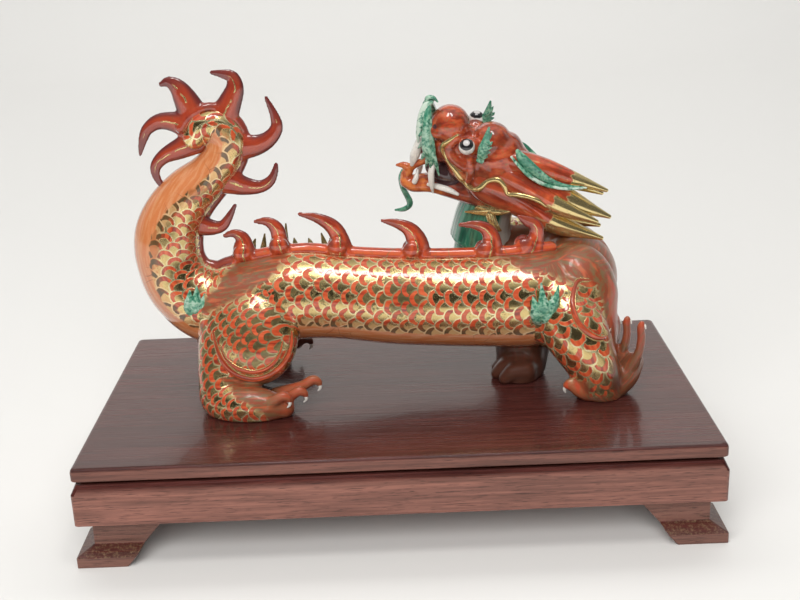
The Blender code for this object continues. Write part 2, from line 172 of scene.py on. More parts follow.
class Tree:
    """A material's node tree, with one method for any node and a few for common ones."""

    def __init__(self, name: str) -> None:
        """Start a material that holds only its output and a Principled shader."""
        self.material = bpy.data.materials.new(name)
        self.material.use_nodes = True
        self.nodes = self.material.node_tree.nodes
        self.shader = self.nodes["Principled BSDF"]
        self.place = self.add("ShaderNodeTexCoord", {}, {}).outputs["Object"]

    def feed(self, node: bpy.types.Node, key: Union[int, str], value: Input) -> None:
        """Set or link one input of a node."""
        target = node.inputs[key]
        if isinstance(value, Value):
            value = value.socket
        if isinstance(value, bpy.types.NodeSocket):
            self.material.node_tree.links.new(value, target)
        else:
            target.default_value = value

    def add(self, kind: str, settings: dict, inputs: dict) -> bpy.types.Node:
        """Add a node.

        Args:
            kind: The node's type name.
            settings: Its own properties, set first.
            inputs: Values or links of its sockets, by name or number.

        Returns:
            The node.
        """
        node = self.nodes.new(kind)
        for key, value in settings.items():
            setattr(node, key, value)
        for key, value in inputs.items():
            self.feed(node, key, value)
        return node

    def value(self, kind: str, settings: dict, inputs: dict, output: Union[int, str] = 0) -> Value:
        """Add a node and wrap one of its outputs."""
        return Value(self, self.add(kind, settings, inputs).outputs[output])

    def mix(self, share: Number, first: Input, second: Input) -> bpy.types.NodeSocket:
        """Colour that goes from first to second as share goes from 0 to 1."""
        first, second = (((*c, 1.0) if isinstance(c, tuple) else c) for c in (first, second))
        node = self.add("ShaderNodeMix", {"data_type": "RGBA"}, {0: share, 6: first, 7: second})
        return node.outputs[2]

    def smooth(self, value: Number, low: float, high: float) -> Value:
        """0 below low, 1 above high, with a soft step between; low may be the larger."""
        return self.value("ShaderNodeMapRange", {"interpolation_type": "SMOOTHSTEP"},
                          {0: value, 1: low, 2: high})

    def noise(self, size: float, detail: float = 2.0, where: Optional[Input] = None,
              stretch: Colour = (1.0, 1.0, 1.0), roughness: float = 0.5) -> Value:
        """Noise about 0.5.

        Args:
            size: Size of its spots in millimetres.
            detail: Octaves.
            where: Place that it reads, in metres; the object's own where left out.
            stretch: Shares by which the place is scaled along each axis first.
            roughness: Strength of the finer octaves.

        Returns:
            The noise value.
        """
        place = self.add("ShaderNodeVectorMath", {"operation": "MULTIPLY"},
                         {0: where or self.place, 1: stretch}).outputs[0]
        return self.value("ShaderNodeTexNoise", {}, {"Vector": place, "Scale": 1 / (size * MM),
                                                     "Detail": detail, "Roughness": roughness})

    def uv(self, name: str) -> tuple[Value, Value]:
        """Both numbers of a UV map."""
        place = self.add("ShaderNodeUVMap", {"uv_map": name}, {}).outputs[0]
        parts = self.add("ShaderNodeSeparateXYZ", {}, {0: place})
        return Value(self, parts.outputs[0]), Value(self, parts.outputs[1])

    def vector(self, x: Number, y: Number, z: Number = 0.0) -> bpy.types.NodeSocket:
        """Vector of three numbers."""
        return self.add("ShaderNodeCombineXYZ", {}, {0: x, 1: y, 2: z}).outputs[0]

    def bump(self, height: Value, distance: float, strength: float = 1.0) -> None:
        """Raise the surface by height times distance, in millimetres."""
        node = self.add("ShaderNodeBump", {}, {"Height": height, "Distance": distance * MM,
                                               "Strength": strength})
        self.feed(self.shader, "Normal", node.outputs[0])

    def finish(self, colour: Input, roughness: Input, metallic: Input = 0.0,
               coat: Input = 0.0) -> bpy.types.Material:
        """Feed the shader and return the material."""
        if isinstance(colour, tuple):
            colour = (*colour, 1.0)
        self.feed(self.shader, "Base Color", colour)
        self.feed(self.shader, "Roughness", roughness)
        self.feed(self.shader, "Metallic", metallic)
        self.feed(self.shader, "Coat Weight", coat)
        self.shader.inputs["Coat Roughness"].default_value = 0.06
        return self.material


# Finishes


@dataclass(frozen=True)
class Palette:
    """Linear colours of the enamels, the gilding and the wood, and of painted shade and a painted sheen."""

    red: Colour = (0.42, 0.054, 0.019)
    deep_red: Colour = (0.20, 0.026, 0.014)
    purple: Colour = (0.085, 0.020, 0.022)
    orange: Colour = (0.48, 0.158, 0.056)
    # Pinkish brown standing for a painted grazing sheen.
    painted_sheen: Colour = (0.27, 0.100, 0.052)
    brown: Colour = (0.215, 0.048, 0.020)
    drab: Colour = (0.135, 0.102, 0.046)
    # Colour of painted shade.
    painted_shade_colour: Colour = (0.045, 0.016, 0.011)
    gold: Colour = (0.78, 0.60, 0.27)
    bright_gold: Colour = (0.94, 0.80, 0.46)
    olive: Colour = (0.155, 0.125, 0.045)
    green: Colour = (0.036, 0.185, 0.115)
    pale_green: Colour = (0.26, 0.46, 0.31)
    dark_green: Colour = (0.010, 0.050, 0.034)
    ivory: Colour = (0.69, 0.66, 0.60)
    grey: Colour = (0.36, 0.34, 0.33)
    black: Colour = (0.012, 0.011, 0.012)


PALETTE = Palette()


class Finish:
    """A look that can be painted on a piece."""

    def material(self, name: str) -> bpy.types.Material:
        """Build the material under this name."""
        return self.paint(Tree(name))

    def paint(self, tree: Tree) -> bpy.types.Material:
        """Wire the look into a tree."""
        raise NotImplementedError


def brushed_red(tree: Tree, streak: Value) -> bpy.types.NodeSocket:
    """Iron-red enamel with brush strokes.

    Args:
        tree: The material's tree.
        streak: Noise that is drawn out along the strokes.

    Returns:
        The colour.
    """
    cloud = tree.noise(14.0, 2.0)
    colour = tree.mix(tree.smooth(streak, 0.42, 0.70), PALETTE.red, (0.53, 0.105, 0.038))
    colour = tree.mix(tree.smooth(streak * 0.7 + cloud * 0.3, 0.50, 0.36), colour, PALETTE.deep_red)
    spots = tree.noise(2.6, 3.0, roughness=0.7)
    return tree.mix(tree.smooth(spots, 0.58, 0.70) * 0.55, colour, PALETTE.olive)


@dataclass(frozen=True)
class Scales(Finish):
    """Fish scales in gold and red, with an orange belly and plain brushed paws.

    Columns of overlapping discs stand half a step apart. At each place the disc of
    the column nearest the head that still covers it is seen. Its rim is a gold line,
    a crescent of red lies inside the rim, and the rest is worn gilding.
    """

    column: float = 5.15
    half_row: float = 5.75
    disc: float = 5.5
    rim: float = 0.62
    inner_disc: float = 3.4
    inner_shift: float = 1.45

    def discs(self, tree: Tree, along: Value, across: Value) -> tuple[Value, Value]:
        """Place within the disc that is seen: towards the tail, and across."""
        column = along // self.column
        odd = column % 2.0
        row = self.half_row * 2
        even_row = (across + self.half_row) % row - self.half_row
        odd_row = across % row - self.half_row
        same = even_row + odd * (odd_row - even_row)
        other = odd_row + odd * (even_row - odd_row)
        ahead = (column + 2.0) * self.column - along
        near = ahead - self.column
        behind = near - self.column
        first = (ahead * ahead + same * same) < self.disc ** 2
        second = (near * near + other * other) < self.disc ** 2
        tailward = near * second + behind * (1 - second)
        sideways = other * second + same * (1 - second)
        tailward = ahead * first + tailward * (1 - first)
        sideways = same * first + sideways * (1 - first)
        return tailward, sideways

    def crescent(self, tree: Tree, tailward: Value, sideways: Value) -> tuple[Value, Value]:
        """How much of the red crescent there is at a place, and of the gold rim."""
        reach = (tailward * tailward + sideways * sideways) ** 0.5
        shifted = tailward + self.inner_shift
        inner = (shifted * shifted + sideways * sideways) ** 0.5
        inside = tree.smooth(reach, self.disc - self.rim, self.disc - self.rim - 0.35)
        outside = tree.smooth(inner, self.inner_disc - 0.15, self.inner_disc + 0.25)
        return inside * outside, 1 - inside

    def paint(self, tree: Tree) -> bpy.types.Material:
        """Wire the look into a tree."""
        along, across = tree.uv("scales")
        belly, plain = tree.uv("zones")
        # The wear map holds worn gilding, with a painted dark reflection band, and painted shade.
        worn_and_dark_reflection, painted_shade = tree.uv("wear")
        sway_a = tree.noise(7.0, 1.0)
        sway_b = tree.noise(6.0, 1.0, stretch=(1.0, 1.3, -1.0))
        tailward, sideways = self.discs(tree, along + (sway_a - 0.5) * 2.6,
                                        across + (sway_b - 0.5) * 2.6)
        crescent, rim = self.crescent(tree, tailward, sideways)

        flow = tree.vector(along * (0.16 * MM), across * MM)
        streak = tree.noise(2.2, 3.0, where=flow)
        red = brushed_red(tree, streak)
        wear = tree.noise(2.2, 3.0, roughness=0.6)
        patch = tree.noise(26.0, 1.0)
        worn = tree.smooth(wear * 0.5 + patch * 0.5 + worn_and_dark_reflection * 0.22, 0.54, 0.66) * 0.85
        trim = tree.smooth(abs(abs(across) - 6.4), 0.75, 0.45)
        crescent = crescent * (1 - trim)
        rim = rim.most(trim)
        spots = tree.smooth(tree.noise(3.4, 2.0), 0.44, 0.56)
        # Dark olive spots, more where the gilding is worn and where the dark reflection is painted.
        dull = tree.mix(spots * (0.35 + worn_and_dark_reflection * 0.6), PALETTE.olive, (0.040, 0.046, 0.022))
        fill = tree.mix(worn, PALETTE.gold, dull)
        fill = tree.mix(worn_and_dark_reflection * 0.55 * tree.smooth(streak, 0.50, 0.62), fill, (0.30, 0.075, 0.028))
        gilt = tree.mix(rim * (1 - worn_and_dark_reflection), fill, PALETTE.bright_gold)
        fringe = tree.smooth(belly + (wear - 0.5) * 8.0, -8.0, -3.0)
        marks = tree.mix(fringe * 0.85, red, (0.050, 0.056, 0.024))
        gilt = tree.mix(fringe * (0.50 + worn * 0.45), gilt, PALETTE.orange)
        paint = tree.mix(crescent, gilt, marks)
        metal = (1 - crescent) * (1 - worn * 0.45 - rim * 0.12) * (1 - fringe * 0.6)

        crackle = tree.value("ShaderNodeTexVoronoi", {"feature": "DISTANCE_TO_EDGE"},
                             {"Vector": tree.place, "Scale": 95.0, "Randomness": 1.0})
        veins = tree.smooth(crackle, 0.020, 0.006) * tree.smooth(tree.noise(24.0, 1.0), 0.52, 0.62)
        ground = tree.mix(tree.smooth(streak, 0.40, 0.65), PALETTE.orange, (0.52, 0.225, 0.100))
        ground = tree.mix(tree.smooth(tree.noise(0.9, 2.0), 0.56, 0.72) * 0.45, ground, (0.44, 0.12, 0.050))
        ground = tree.mix(veins * 0.55, ground, (0.10, 0.03, 0.02))
        edge = belly + (tree.noise(5.0, 2.0) - 0.5) * 5.0
        bare = tree.smooth(edge, -0.6, 0.9)
        colour = tree.mix(bare, paint, ground)

        far = plain + (tree.noise(9.0, 2.0) - 0.5) * 10.0
        faded = tree.smooth(far, -3.0, 3.0)
        dashes = tree.vector(along * (0.45 * MM), across * (1.3 * MM))
        mottle = tree.smooth(tree.noise(2.6, 3.0, where=dashes, roughness=0.6), 0.42, 0.60)
        strokes = tree.mix(mottle * 0.8, PALETTE.brown, PALETTE.drab)
        strokes = tree.mix(tree.smooth(streak, 0.52, 0.66) * 0.55, strokes, red)
        # Deep in the plain zone the strokes turn pinkish brown: a painted sheen of grazing reflection.
        strokes = tree.mix(tree.smooth(plain, 8.0, 26.0) * 0.5, strokes, PALETTE.painted_sheen)
        ruddy = tree.mix(tree.smooth(streak, 0.42, 0.60), PALETTE.red, (0.30, 0.085, 0.034))
        strokes = tree.mix(tree.smooth(belly, -42.0, -58.0), strokes, ruddy)
        colour = tree.mix(faded * (1 - bare), colour, strokes)
        # Painted shade: darkens the colour here and dulls the gilding's metal below.
        colour = tree.mix(painted_shade * (1 - crescent * (1 - faded) * 0.75), colour, PALETTE.painted_shade_colour)

        cover = (1 - bare) * (1 - faded)
        metallic = metal * cover * (1 - painted_shade * 0.6)
        dry = faded * (1 - bare)
        roughness = 0.11 + metallic * 0.15 + dry * 0.24 + (tree.noise(3.0, 2.0) - 0.5) * 0.06
        tree.bump(crescent * cover * 0.8 + tree.noise(16.0, 2.0) * 2.0, 0.12, 0.8)
        return tree.finish(colour, roughness, metallic, (1 - metallic) * (1 - dry * 0.55))


@dataclass(frozen=True)
class CrestEnamel(Finish):
    """Brushed red with dark purple edges and tips, partly thinner glaze and partly painted dark reflection, and a gold
    line up the middle of each flame.
    """

    line: float = 0.10

    def paint(self, tree: Tree) -> bpy.types.Material:
        """Wire the look into a tree."""
        share, lateral = tree.uv("flame")
        along, kind = tree.uv("ridge")
        flame = tree.smooth(kind, 0.2, 0.3)
        back = tree.smooth(kind, 0.7, 0.8)
        streak = tree.noise(2.4, 3.0, where=tree.vector(share * 0.006, lateral * 0.004, kind * 0.01))
        red = brushed_red(tree, streak)
        sway = (tree.noise(8.0, 1.0) - 0.5) * 0.5
        # Dark purple along each flame's outline and towards its tip: thinner glaze there, and painted dark reflection.
        edge = tree.smooth(abs(lateral) + (streak - 0.5) * 0.5, 0.38, 0.92)
        tip = tree.smooth(share + (streak - 0.5) * 0.4, 0.45, 0.92) * 0.85
        edge = edge * tree.smooth(share, 0.08, 0.26)
        dark = (edge.most(tip) * (0.95 - back * 0.20) * flame).least(1.0)
        red = tree.mix((1 - back) * flame * 0.62, red, PALETTE.deep_red)
        tail = tree.smooth(along, 185.0, 150.0) * (1 - flame) * 0.75
        colour = tree.mix(tail, red, (0.13, 0.030, 0.028))
        colour = tree.mix(dark, colour, PALETTE.purple)
        centre = tree.smooth(abs(lateral + sway), self.line, self.line * 0.45)
        span = tree.smooth(share, 0.02, 0.10) * tree.smooth(share, 0.80, 0.66)
        broken = tree.smooth(tree.noise(6.0, 1.0) + back * 0.12, 0.48, 0.56)
        line = centre * span * flame * broken
        colour = tree.mix(line, colour, PALETTE.gold)
        tick = tree.smooth(abs((along + tree.noise(30.0, 0.0) * 40.0) % 36.0 - 18.0), 0.55, 0.2)
        tick = tick * (1 - flame) * 0.6
        colour = tree.mix(tick, colour, PALETTE.olive)
        metal = line * 0.9
        tree.bump(tree.noise(9.0, 2.0) * 2.0 + line, 0.14)
        return tree.finish(colour, 0.10 + metal * 0.15, metal, 1 - metal)


@dataclass(frozen=True)
class HeadEnamel(Finish):
    """Brushed red with orange jaw, pale gums and palate, and a dark mouth, nostrils, creases and underside in painted
    shade, from painted masks.
    """

    def paint(self, tree: Tree) -> bpy.types.Material:
        """Wire the look into a tree."""
        masks = tree.add("ShaderNodeAttribute", {"attribute_name": "masks"}, {}).outputs["Color"]
        parts = tree.add("ShaderNodeSeparateColor", {}, {0: masks})
        orange, pale, dark = (Value(tree, parts.outputs[k]) for k in range(3))
        streak = tree.noise(3.0, 3.0, stretch=(0.45, 1.0, 1.2))
        red = brushed_red(tree, streak)
        fine = tree.noise(2.2, 3.0, roughness=0.65)
        red = tree.mix(tree.smooth(fine, 0.54, 0.68) * 0.50, red, PALETTE.olive)
        cloud = tree.smooth(tree.noise(9.0, 2.0), 0.42, 0.66)
        red = tree.mix(0.25 + cloud * 0.50, red, (0.120, 0.024, 0.012))
        jaw = tree.mix(tree.smooth(tree.noise(4.0), 0.35, 0.65), (0.52, 0.15, 0.040), (0.34, 0.065, 0.024))
        sway = (fine - 0.5) * 0.5
        colour = tree.mix(tree.smooth(orange + sway, 0.4, 0.6), red, jaw)
        colour = tree.mix(tree.smooth(pale + sway, 0.4, 0.6), colour, PALETTE.ivory)
        # Dark mask: painted shade in the mouth, nostrils, creases and under the head.
        colour = tree.mix(tree.smooth(dark + sway * 0.4, 0.20, 0.80), colour, (0.05, 0.024, 0.026))
        tree.bump(tree.noise(8.0, 2.0), 0.4, 0.6)
        return tree.finish(colour, 0.09 + streak * 0.05, 0.0, 1.0)


@dataclass(frozen=True)
class Gilded(Finish):
    """Gold leaf under glaze, worn through to olive brown in spots."""

    worn: float = 0.3

    def paint(self, tree: Tree) -> bpy.types.Material:
        """Wire the look into a tree."""
        wear = tree.smooth(tree.noise(2.4, 3.0, roughness=0.65), 0.70 - self.worn * 0.4, 0.80 - self.worn * 0.3)
        colour = tree.mix(wear, PALETTE.gold, PALETTE.olive)
        tree.bump(tree.noise(4.0, 2.0), 0.20, 0.6)
        return tree.finish(colour, 0.21 + wear * 0.12, 0.86 - wear * 0.4, 0.3)


@dataclass(frozen=True)
class Horn(Finish):
    """Brushed red that turns to gold towards the tip."""

    turns: float = 0.55
    streaked: float = 0.35

    def paint(self, tree: Tree) -> bpy.types.Material:
        """Wire the look into a tree."""
        share, girth = tree.uv("own")
        streak = tree.noise(2.6, 3.0, where=tree.vector(share * 0.010, girth * 0.030))
        red = brushed_red(tree, streak)
        ragged = share + (tree.noise(4.0, 2.0) - 0.5) * 0.16
        gold = tree.smooth(ragged, self.turns - 0.015, self.turns + 0.015)
        lines = tree.smooth(streak, 0.62, 0.68) * tree.smooth(share, 0.05, 0.3) * self.streaked
        gold = (gold + lines).least(1.0)
        blotch = tree.smooth(tree.noise(7.0, 2.0), 0.40, 0.62) * 0.5
        root = tree.smooth(share, 0.50, 0.12) * 0.55
        red = tree.mix(blotch.most(root), red, (0.13, 0.028, 0.013))
        wear = tree.smooth(tree.noise(2.0, 3.0), 0.60, 0.72) * 0.5
        gilt = tree.mix(wear, (0.84, 0.67, 0.32), PALETTE.olive)
        colour = tree.mix(gold, red, gilt)
        metal = gold * (0.90 - wear * 0.35)
        tree.bump(streak, 0.12)
        return tree.finish(colour, 0.10 + metal * 0.09, metal, 1 - metal)


@dataclass(frozen=True)
class Green(Finish):
    """Translucent green enamel, dark in the hollows and pale on the ridges: partly the glaze's own mottling, partly
    painted shade and painted highlights.
    """

    # Strength of the pale patches that stand for painted highlights.
    pale: float = 0.3
    size: float = 2.0

    def paint(self, tree: Tree) -> bpy.types.Material:
        """Wire the look into a tree."""
        spots = tree.noise(self.size, 4.0, roughness=0.65)
        cloud = tree.noise(self.size * 4, 2.0)
        # Pale patches stand for highlights on the ridges and dark spots for shade in the hollows: painted highlights
        # and painted shade over the glaze's own mottling.
        colour = tree.mix(tree.smooth(spots, 0.38, 0.66) * 0.8, PALETTE.green, PALETTE.pale_green)
        colour = tree.mix(tree.smooth(cloud, 0.60 - self.pale * 0.3, 0.34 - self.pale * 0.2), colour, PALETTE.green)
        colour = tree.mix(tree.smooth(cloud + (spots - 0.5) * 0.5, 0.50, 0.68) * self.pale, colour, (0.46, 0.55, 0.46))
        colour = tree.mix(tree.smooth(spots, 0.46, 0.30) * 0.8, colour, PALETTE.dark_green)
        tree.bump(spots + cloud * 2.0, 0.40)
        return tree.finish(colour, 0.10, 0.0, 1.0)


@dataclass(frozen=True)
class CombedMane(Finish):
    """Combed green hair that fades to pale glaze on top and at one side."""

    def paint(self, tree: Tree) -> bpy.types.Material:
        """Wire the look into a tree."""
        share, girth = tree.uv("own")
        streak = tree.noise(2.0, 4.0, where=tree.vector(share * 0.006, girth * 0.060), roughness=0.6)
        colour = tree.mix(tree.smooth(streak, 0.36, 0.56), (0.018, 0.090, 0.060), PALETTE.green)
        colour = tree.mix(tree.smooth(streak, 0.58, 0.74), colour, PALETTE.pale_green)
        height = share + (streak - 0.5) * 0.5
        turned = abs(girth - 0.5)
        blush = tree.smooth(height, 0.68, 0.90) * tree.smooth(turned, 0.30, 0.12)
        colour = tree.mix(blush * 0.85, colour, (0.50, 0.36, 0.33))
        side = tree.smooth(turned + (streak - 0.5) * 0.04, 0.37, 0.40)
        colour = tree.mix(side, colour, (0.42, 0.41, 0.37))
        tree.bump(streak, 0.5)
        return tree.finish(colour, 0.13, 0.0, 1.0)


@dataclass(frozen=True)
class Glazed(Finish):
    """One plain glazed colour with faint clouds of another."""

    colour: Colour = PALETTE.ivory
    cloud: Colour = PALETTE.grey
    share: float = 0.4
    roughness: float = 0.10

    def paint(self, tree: Tree) -> bpy.types.Material:
        """Wire the look into a tree."""
        clouds = tree.smooth(tree.noise(3.0, 3.0), 0.45, 0.70) * self.share
        return tree.finish(tree.mix(clouds, self.colour, self.cloud), self.roughness, 0.0, 1.0)


@dataclass(frozen=True)
class Eye(Finish):
    """White ball with a black ring round its pole."""

    ring_start: float = 0.13
    ring_end: float = 0.32

    def paint(self, tree: Tree) -> bpy.types.Material:
        """Wire the look into a tree."""
        polar, _ = tree.uv("own")
        ragged = polar + (tree.noise(2.0, 2.0) - 0.5) * 0.04
        ring = tree.smooth(ragged, self.ring_start - 0.015, self.ring_start + 0.015)
        ring = ring * tree.smooth(ragged, self.ring_end + 0.015, self.ring_end - 0.015)
        white = tree.mix(tree.smooth(tree.noise(2.5, 2.0), 0.42, 0.65) * 0.5, (0.72, 0.69, 0.64), PALETTE.grey)
        white = tree.mix(tree.smooth(polar, self.ring_start + 0.03, self.ring_start) * 0.8, white, PALETTE.grey)
        return tree.finish(tree.mix(ring, white, PALETTE.black), 0.08, 0.0, 1.0)


@dataclass(frozen=True)
class Hardwood(Finish):
    """Red-brown wood with fine grain along X: dark on what faces up, as polished wood with a painted dark reflection,
    paler upright faces.

    dust is the share of the sloping faces that settled dirt covers.
    """

    top: Colour = (0.062, 0.0165, 0.0135)
    face: Colour = (0.215, 0.088, 0.064)
    gloss: float = 1.0
    dust: float = 0.0

    def paint(self, tree: Tree) -> bpy.types.Material:
        """Wire the look into a tree."""
        normal = tree.add("ShaderNodeTexCoord", {}, {}).outputs["Normal"]
        parts = tree.add("ShaderNodeSeparateXYZ", {}, {0: normal})
        upward = Value(tree, parts.outputs[2])
        raised = tree.smooth(upward, 0.12, 0.40)
        grain = tree.noise(1.9, 4.0, stretch=(0.035, 1.0, 1.0), roughness=0.65)
        broad = tree.noise(24.0, 2.0, stretch=(0.08, 1.0, 1.0))
        pores = tree.noise(0.62, 2.0, stretch=(0.060, 1.0, 1.0), roughness=0.6)
        shade = tree.smooth(grain * 0.65 + broad * 0.35, 0.36, 0.64)
        # What faces up takes the dark colour: polished wood, and a painted dark reflection.
        polish_and_dark_reflection = tree.mix(shade, tuple(0.62 * c for c in self.top), tuple(1.45 * c for c in self.top))
        bare = tree.mix(shade, tuple(0.60 * c for c in self.face), tuple(1.25 * c for c in self.face))
        colour = tree.mix(raised, bare, polish_and_dark_reflection)
        colour = tree.mix(tree.smooth(pores, 0.56, 0.68) * 0.65, colour, (0.022, 0.008, 0.007))
        if self.dust:
            slope = tree.smooth(upward, 0.10, 0.35) * tree.smooth(upward, 0.97, 0.90)
            settled = tree.smooth(tree.noise(1.6, 4.0, roughness=0.7), 0.46, 0.66)
            speckles = tree.smooth(tree.noise(0.9, 3.0), 0.58, 0.70) * 0.5
            cover = (slope * settled * 0.6 + speckles * 0.5) * self.dust
            colour = tree.mix(cover, colour, (0.23, 0.155, 0.085))
        scratches = tree.noise(1.1, 3.0, stretch=(0.012, 1.0, 1.0))
        tree.bump(pores * 0.5 + grain + scratches * 1.2, 0.11, 0.6)
        rough = 0.42 - raised * 0.18 * self.gloss + (broad - 0.5) * 0.14 + (scratches - 0.5) * 0.36
        return tree.finish(colour, rough, 0.0, raised * 0.34 * self.gloss)


# Surfaces


@dataclass
class Shape:
    """A closed surface.

    Attributes:
        vertices: Places in millimetres, one row each.
        quads: Faces of four.
        triangles: Faces of three, at the poles.
        uv: Share along and share round for each face corner, quads first.
    """

    vertices: np.ndarray
    quads: np.ndarray
    triangles: np.ndarray
    uv: np.ndarray

    def outward(self) -> "Shape":
        """The same surface with its faces turned outward, judged by its signed volume."""
        corners = np.vstack([self.quads[:, [0, 1, 2]], self.quads[:, [0, 2, 3]], self.triangles])
        a, b, c = (self.vertices[corners[:, k]] for k in range(3))
        if np.einsum("ij,ij->i", a, np.cross(b, c)).sum() >= 0:
            return self
        count = len(self.quads) * 4
        quad_uv = self.uv[:count].reshape(-1, 4, 2)[:, ::-1].reshape(-1, 2)
        triangle_uv = self.uv[count:].reshape(-1, 3, 2)[:, ::-1].reshape(-1, 2)
        return Shape(self.vertices, self.quads[:, ::-1], self.triangles[:, ::-1],
                     np.vstack([quad_uv, triangle_uv]))


def joined(shapes: Sequence[Shape]) -> Shape:
    """Several surfaces as one."""
    starts = np.cumsum([0] + [len(s.vertices) for s in shapes[:-1]])
    quads = np.vstack([s.quads + start for s, start in zip(shapes, starts)])
    triangles = np.vstack([s.triangles + start for s, start in zip(shapes, starts)])
    quad_uv = [s.uv[:len(s.quads) * 4] for s in shapes]
    triangle_uv = [s.uv[len(s.quads) * 4:] for s in shapes]
    return Shape(np.vstack([s.vertices for s in shapes]), quads, triangles,
                 np.vstack(quad_uv + triangle_uv))


def smooth_path(rows: Rows, steps: int = 6) -> np.ndarray:
    """Catmull-Rom curve through rows of numbers, the last of which is a radius.

    Between rows b and c, with a before and d after them, the curve is the cubic that
    passes through b and c with slopes (c - a) / 2 and (d - b) / 2.
    """
    rows = np.array(rows, dtype=float)
    rows = np.vstack([2 * rows[0] - rows[1], rows, 2 * rows[-1] - rows[-2]])
    a, b, c, d = (rows[k:len(rows) - 3 + k, None, :] for k in range(4))
    t = (np.arange(steps) / steps)[None, :, None]
    curve = 0.5 * (2 * b + (c - a) * t + (2 * a - 5 * b + 4 * c - d) * t ** 2
                   + (3 * b - a - 3 * c + d) * t ** 3)
    path = np.vstack([curve.reshape(-1, rows.shape[1]), rows[-2]])
    path[:, -1] = np.maximum(path[:, -1], rows[1:-1, -1].min())
    return path


def unit(vectors: np.ndarray) -> np.ndarray:
    """Vectors of length one."""
    return vectors / np.maximum(np.linalg.norm(vectors, axis=-1, keepdims=True), 1e-9)


def closed_grid(rings: np.ndarray, along: np.ndarray) -> Shape:
    """Surface through rings of points whose first and last ring are one point each.

    Args:
        rings: Array of rings by points by 3.
        along: Share along for each ring, kept as the first UV number.

    Returns:
        The surface, faces outward.
    """
    count, around = rings.shape[:2]
    inner = count - 2
    vertices = np.vstack([rings[0, :1], rings[1:-1].reshape(-1, 3), rings[-1, :1]])
    index = 1 + np.arange(inner * around).reshape(inner, around)
    after = np.roll(index, -1, axis=1)
    quads = np.stack([index[:-1], after[:-1], after[1:], index[1:]], axis=-1).reshape(-1, 4)
    first = np.stack([np.zeros(around, int), after[0], index[0]], axis=-1)
    last = np.stack([np.full(around, len(vertices) - 1), index[-1], after[-1]], axis=-1)
    left = np.tile(np.arange(around) / around, (inner, 1))
    right = left + 1 / around
    level = np.tile(along[1:-1, None], (1, around))
    corners = [(level[:-1], left[:-1]), (level[:-1], right[:-1]), (level[1:], right[1:]),
               (level[1:], left[1:])]
    quad_uv = np.stack([np.stack(c, axis=-1) for c in corners], axis=-2).reshape(-1, 2)
    middle = (left[0] + right[0]) / 2
    first_uv = np.stack([np.stack([np.full(around, along[0]), middle], -1),
                         np.stack([level[0], right[0]], -1),
                         np.stack([level[0], left[0]], -1)], axis=-2).reshape(-1, 2)
    last_uv = np.stack([np.stack([np.full(around, along[-1]), middle], -1),
                        np.stack([level[-1], left[-1]], -1),
                        np.stack([level[-1], right[-1]], -1)], axis=-2).reshape(-1, 2)
    shape = Shape(vertices, quads, np.vstack([first, last]), np.vstack([quad_uv, first_uv, last_uv]))
    return shape.outward()


def swept(rows: Rows, around: int = 20, steps: int = 6,
          press: Optional[tuple[Sequence[float], float]] = None,
          section: Optional[Callable[[np.ndarray], np.ndarray]] = None) -> Shape:
    """Round section swept along a path, with rounded ends.

    Ring k lies round path point k: its point at angle a is the path point plus radius
    times (cos a along a side vector, sin a along the other).

    Args:
        rows: Stations of x, y, z, radius.
        around: Points in a ring.
        steps: Rings between two stations.
        press: Direction to press the sweep thin along, and to what share.
        section: Radius as a share of the station's, for each angle.

    Returns:
        The surface.
    """
    path = smooth_path(rows, steps)
    middle = path[:, :3].mean(axis=0)
    squeeze = np.eye(3)
    if press:
        direction = unit(np.array(press[0], dtype=float))
        squeeze -= (1 - press[1]) * np.outer(direction, direction)
    points = (path[:, :3] - middle) @ np.linalg.inv(squeeze)
    radius = path[:, 3]
    steps_taken = unit(np.gradient(points, axis=0))
    bend = np.sin(np.linspace(0, np.pi / 2, 5))[1:, None]
    shrink = np.cos(np.linspace(0, np.pi / 2, 5))[1:]
    start = points[0] - steps_taken[0] * radius[0] * bend[::-1]
    end = points[-1] + steps_taken[-1] * radius[-1] * bend
    points = np.vstack([start, points, end])
    radius = np.concatenate([radius[0] * shrink[::-1], radius, radius[-1] * shrink])
    radius[[0, -1]] = 0.0
    tangent = unit(np.gradient(points, axis=0))
    reference = np.linalg.svd(tangent)[2][-1]
    side = unit(reference - tangent * (tangent @ reference)[:, None])
    other = np.cross(tangent, side)
    angle = 2 * np.pi * np.arange(around) / around
    reach = radius[:, None] * (section(angle) if section else np.ones(around))[None, :]
    rings = points[:, None] + reach[..., None] * (np.cos(angle)[None, :, None] * side[:, None]
                                                  + np.sin(angle)[None, :, None] * other[:, None])
    length = np.concatenate([[0.0], np.cumsum(np.linalg.norm(np.diff(points, axis=0), axis=1))])
    return closed_grid(rings @ squeeze + middle, length / length[-1])


def ball(centre: Sequence[float], radii: Sequence[float], axes: Optional[np.ndarray] = None,
         around: int = 28, rings: int = 18) -> Shape:
    """Ellipsoid: its point at polar angle p and turn q is centre + radii * (sin p cos q, sin p sin q, cos p).

    Args:
        centre: Its middle.
        radii: Half sizes along its axes; the pole is on the third.
        axes: Its axes as rows, the world's where left out.
        around: Points in a ring.
        rings: Rings from pole to pole.

    Returns:
        The surface.
    """
    polar = np.linspace(0, np.pi, rings + 1)[:, None]
    turn = 2 * np.pi * np.arange(around)[None] / around
    local = np.stack([np.sin(polar) * np.cos(turn) * radii[0], np.sin(polar) * np.sin(turn) * radii[1],
                      np.cos(polar) * np.ones_like(turn) * radii[2]], axis=-1)
    frame_axes = np.eye(3) if axes is None else np.array(axes)
    return closed_grid(local @ frame_axes + np.array(centre), polar[:, 0] / np.pi)


def mesh_of(name: str, vertices: np.ndarray, faces: list) -> bpy.types.Mesh:
    """Mesh from places in metres and lists of corners, shaded smooth."""
    mesh = bpy.data.meshes.new(name)
    mesh.from_pydata(vertices.tolist(), [], faces)
    mesh.shade_smooth()
    return mesh


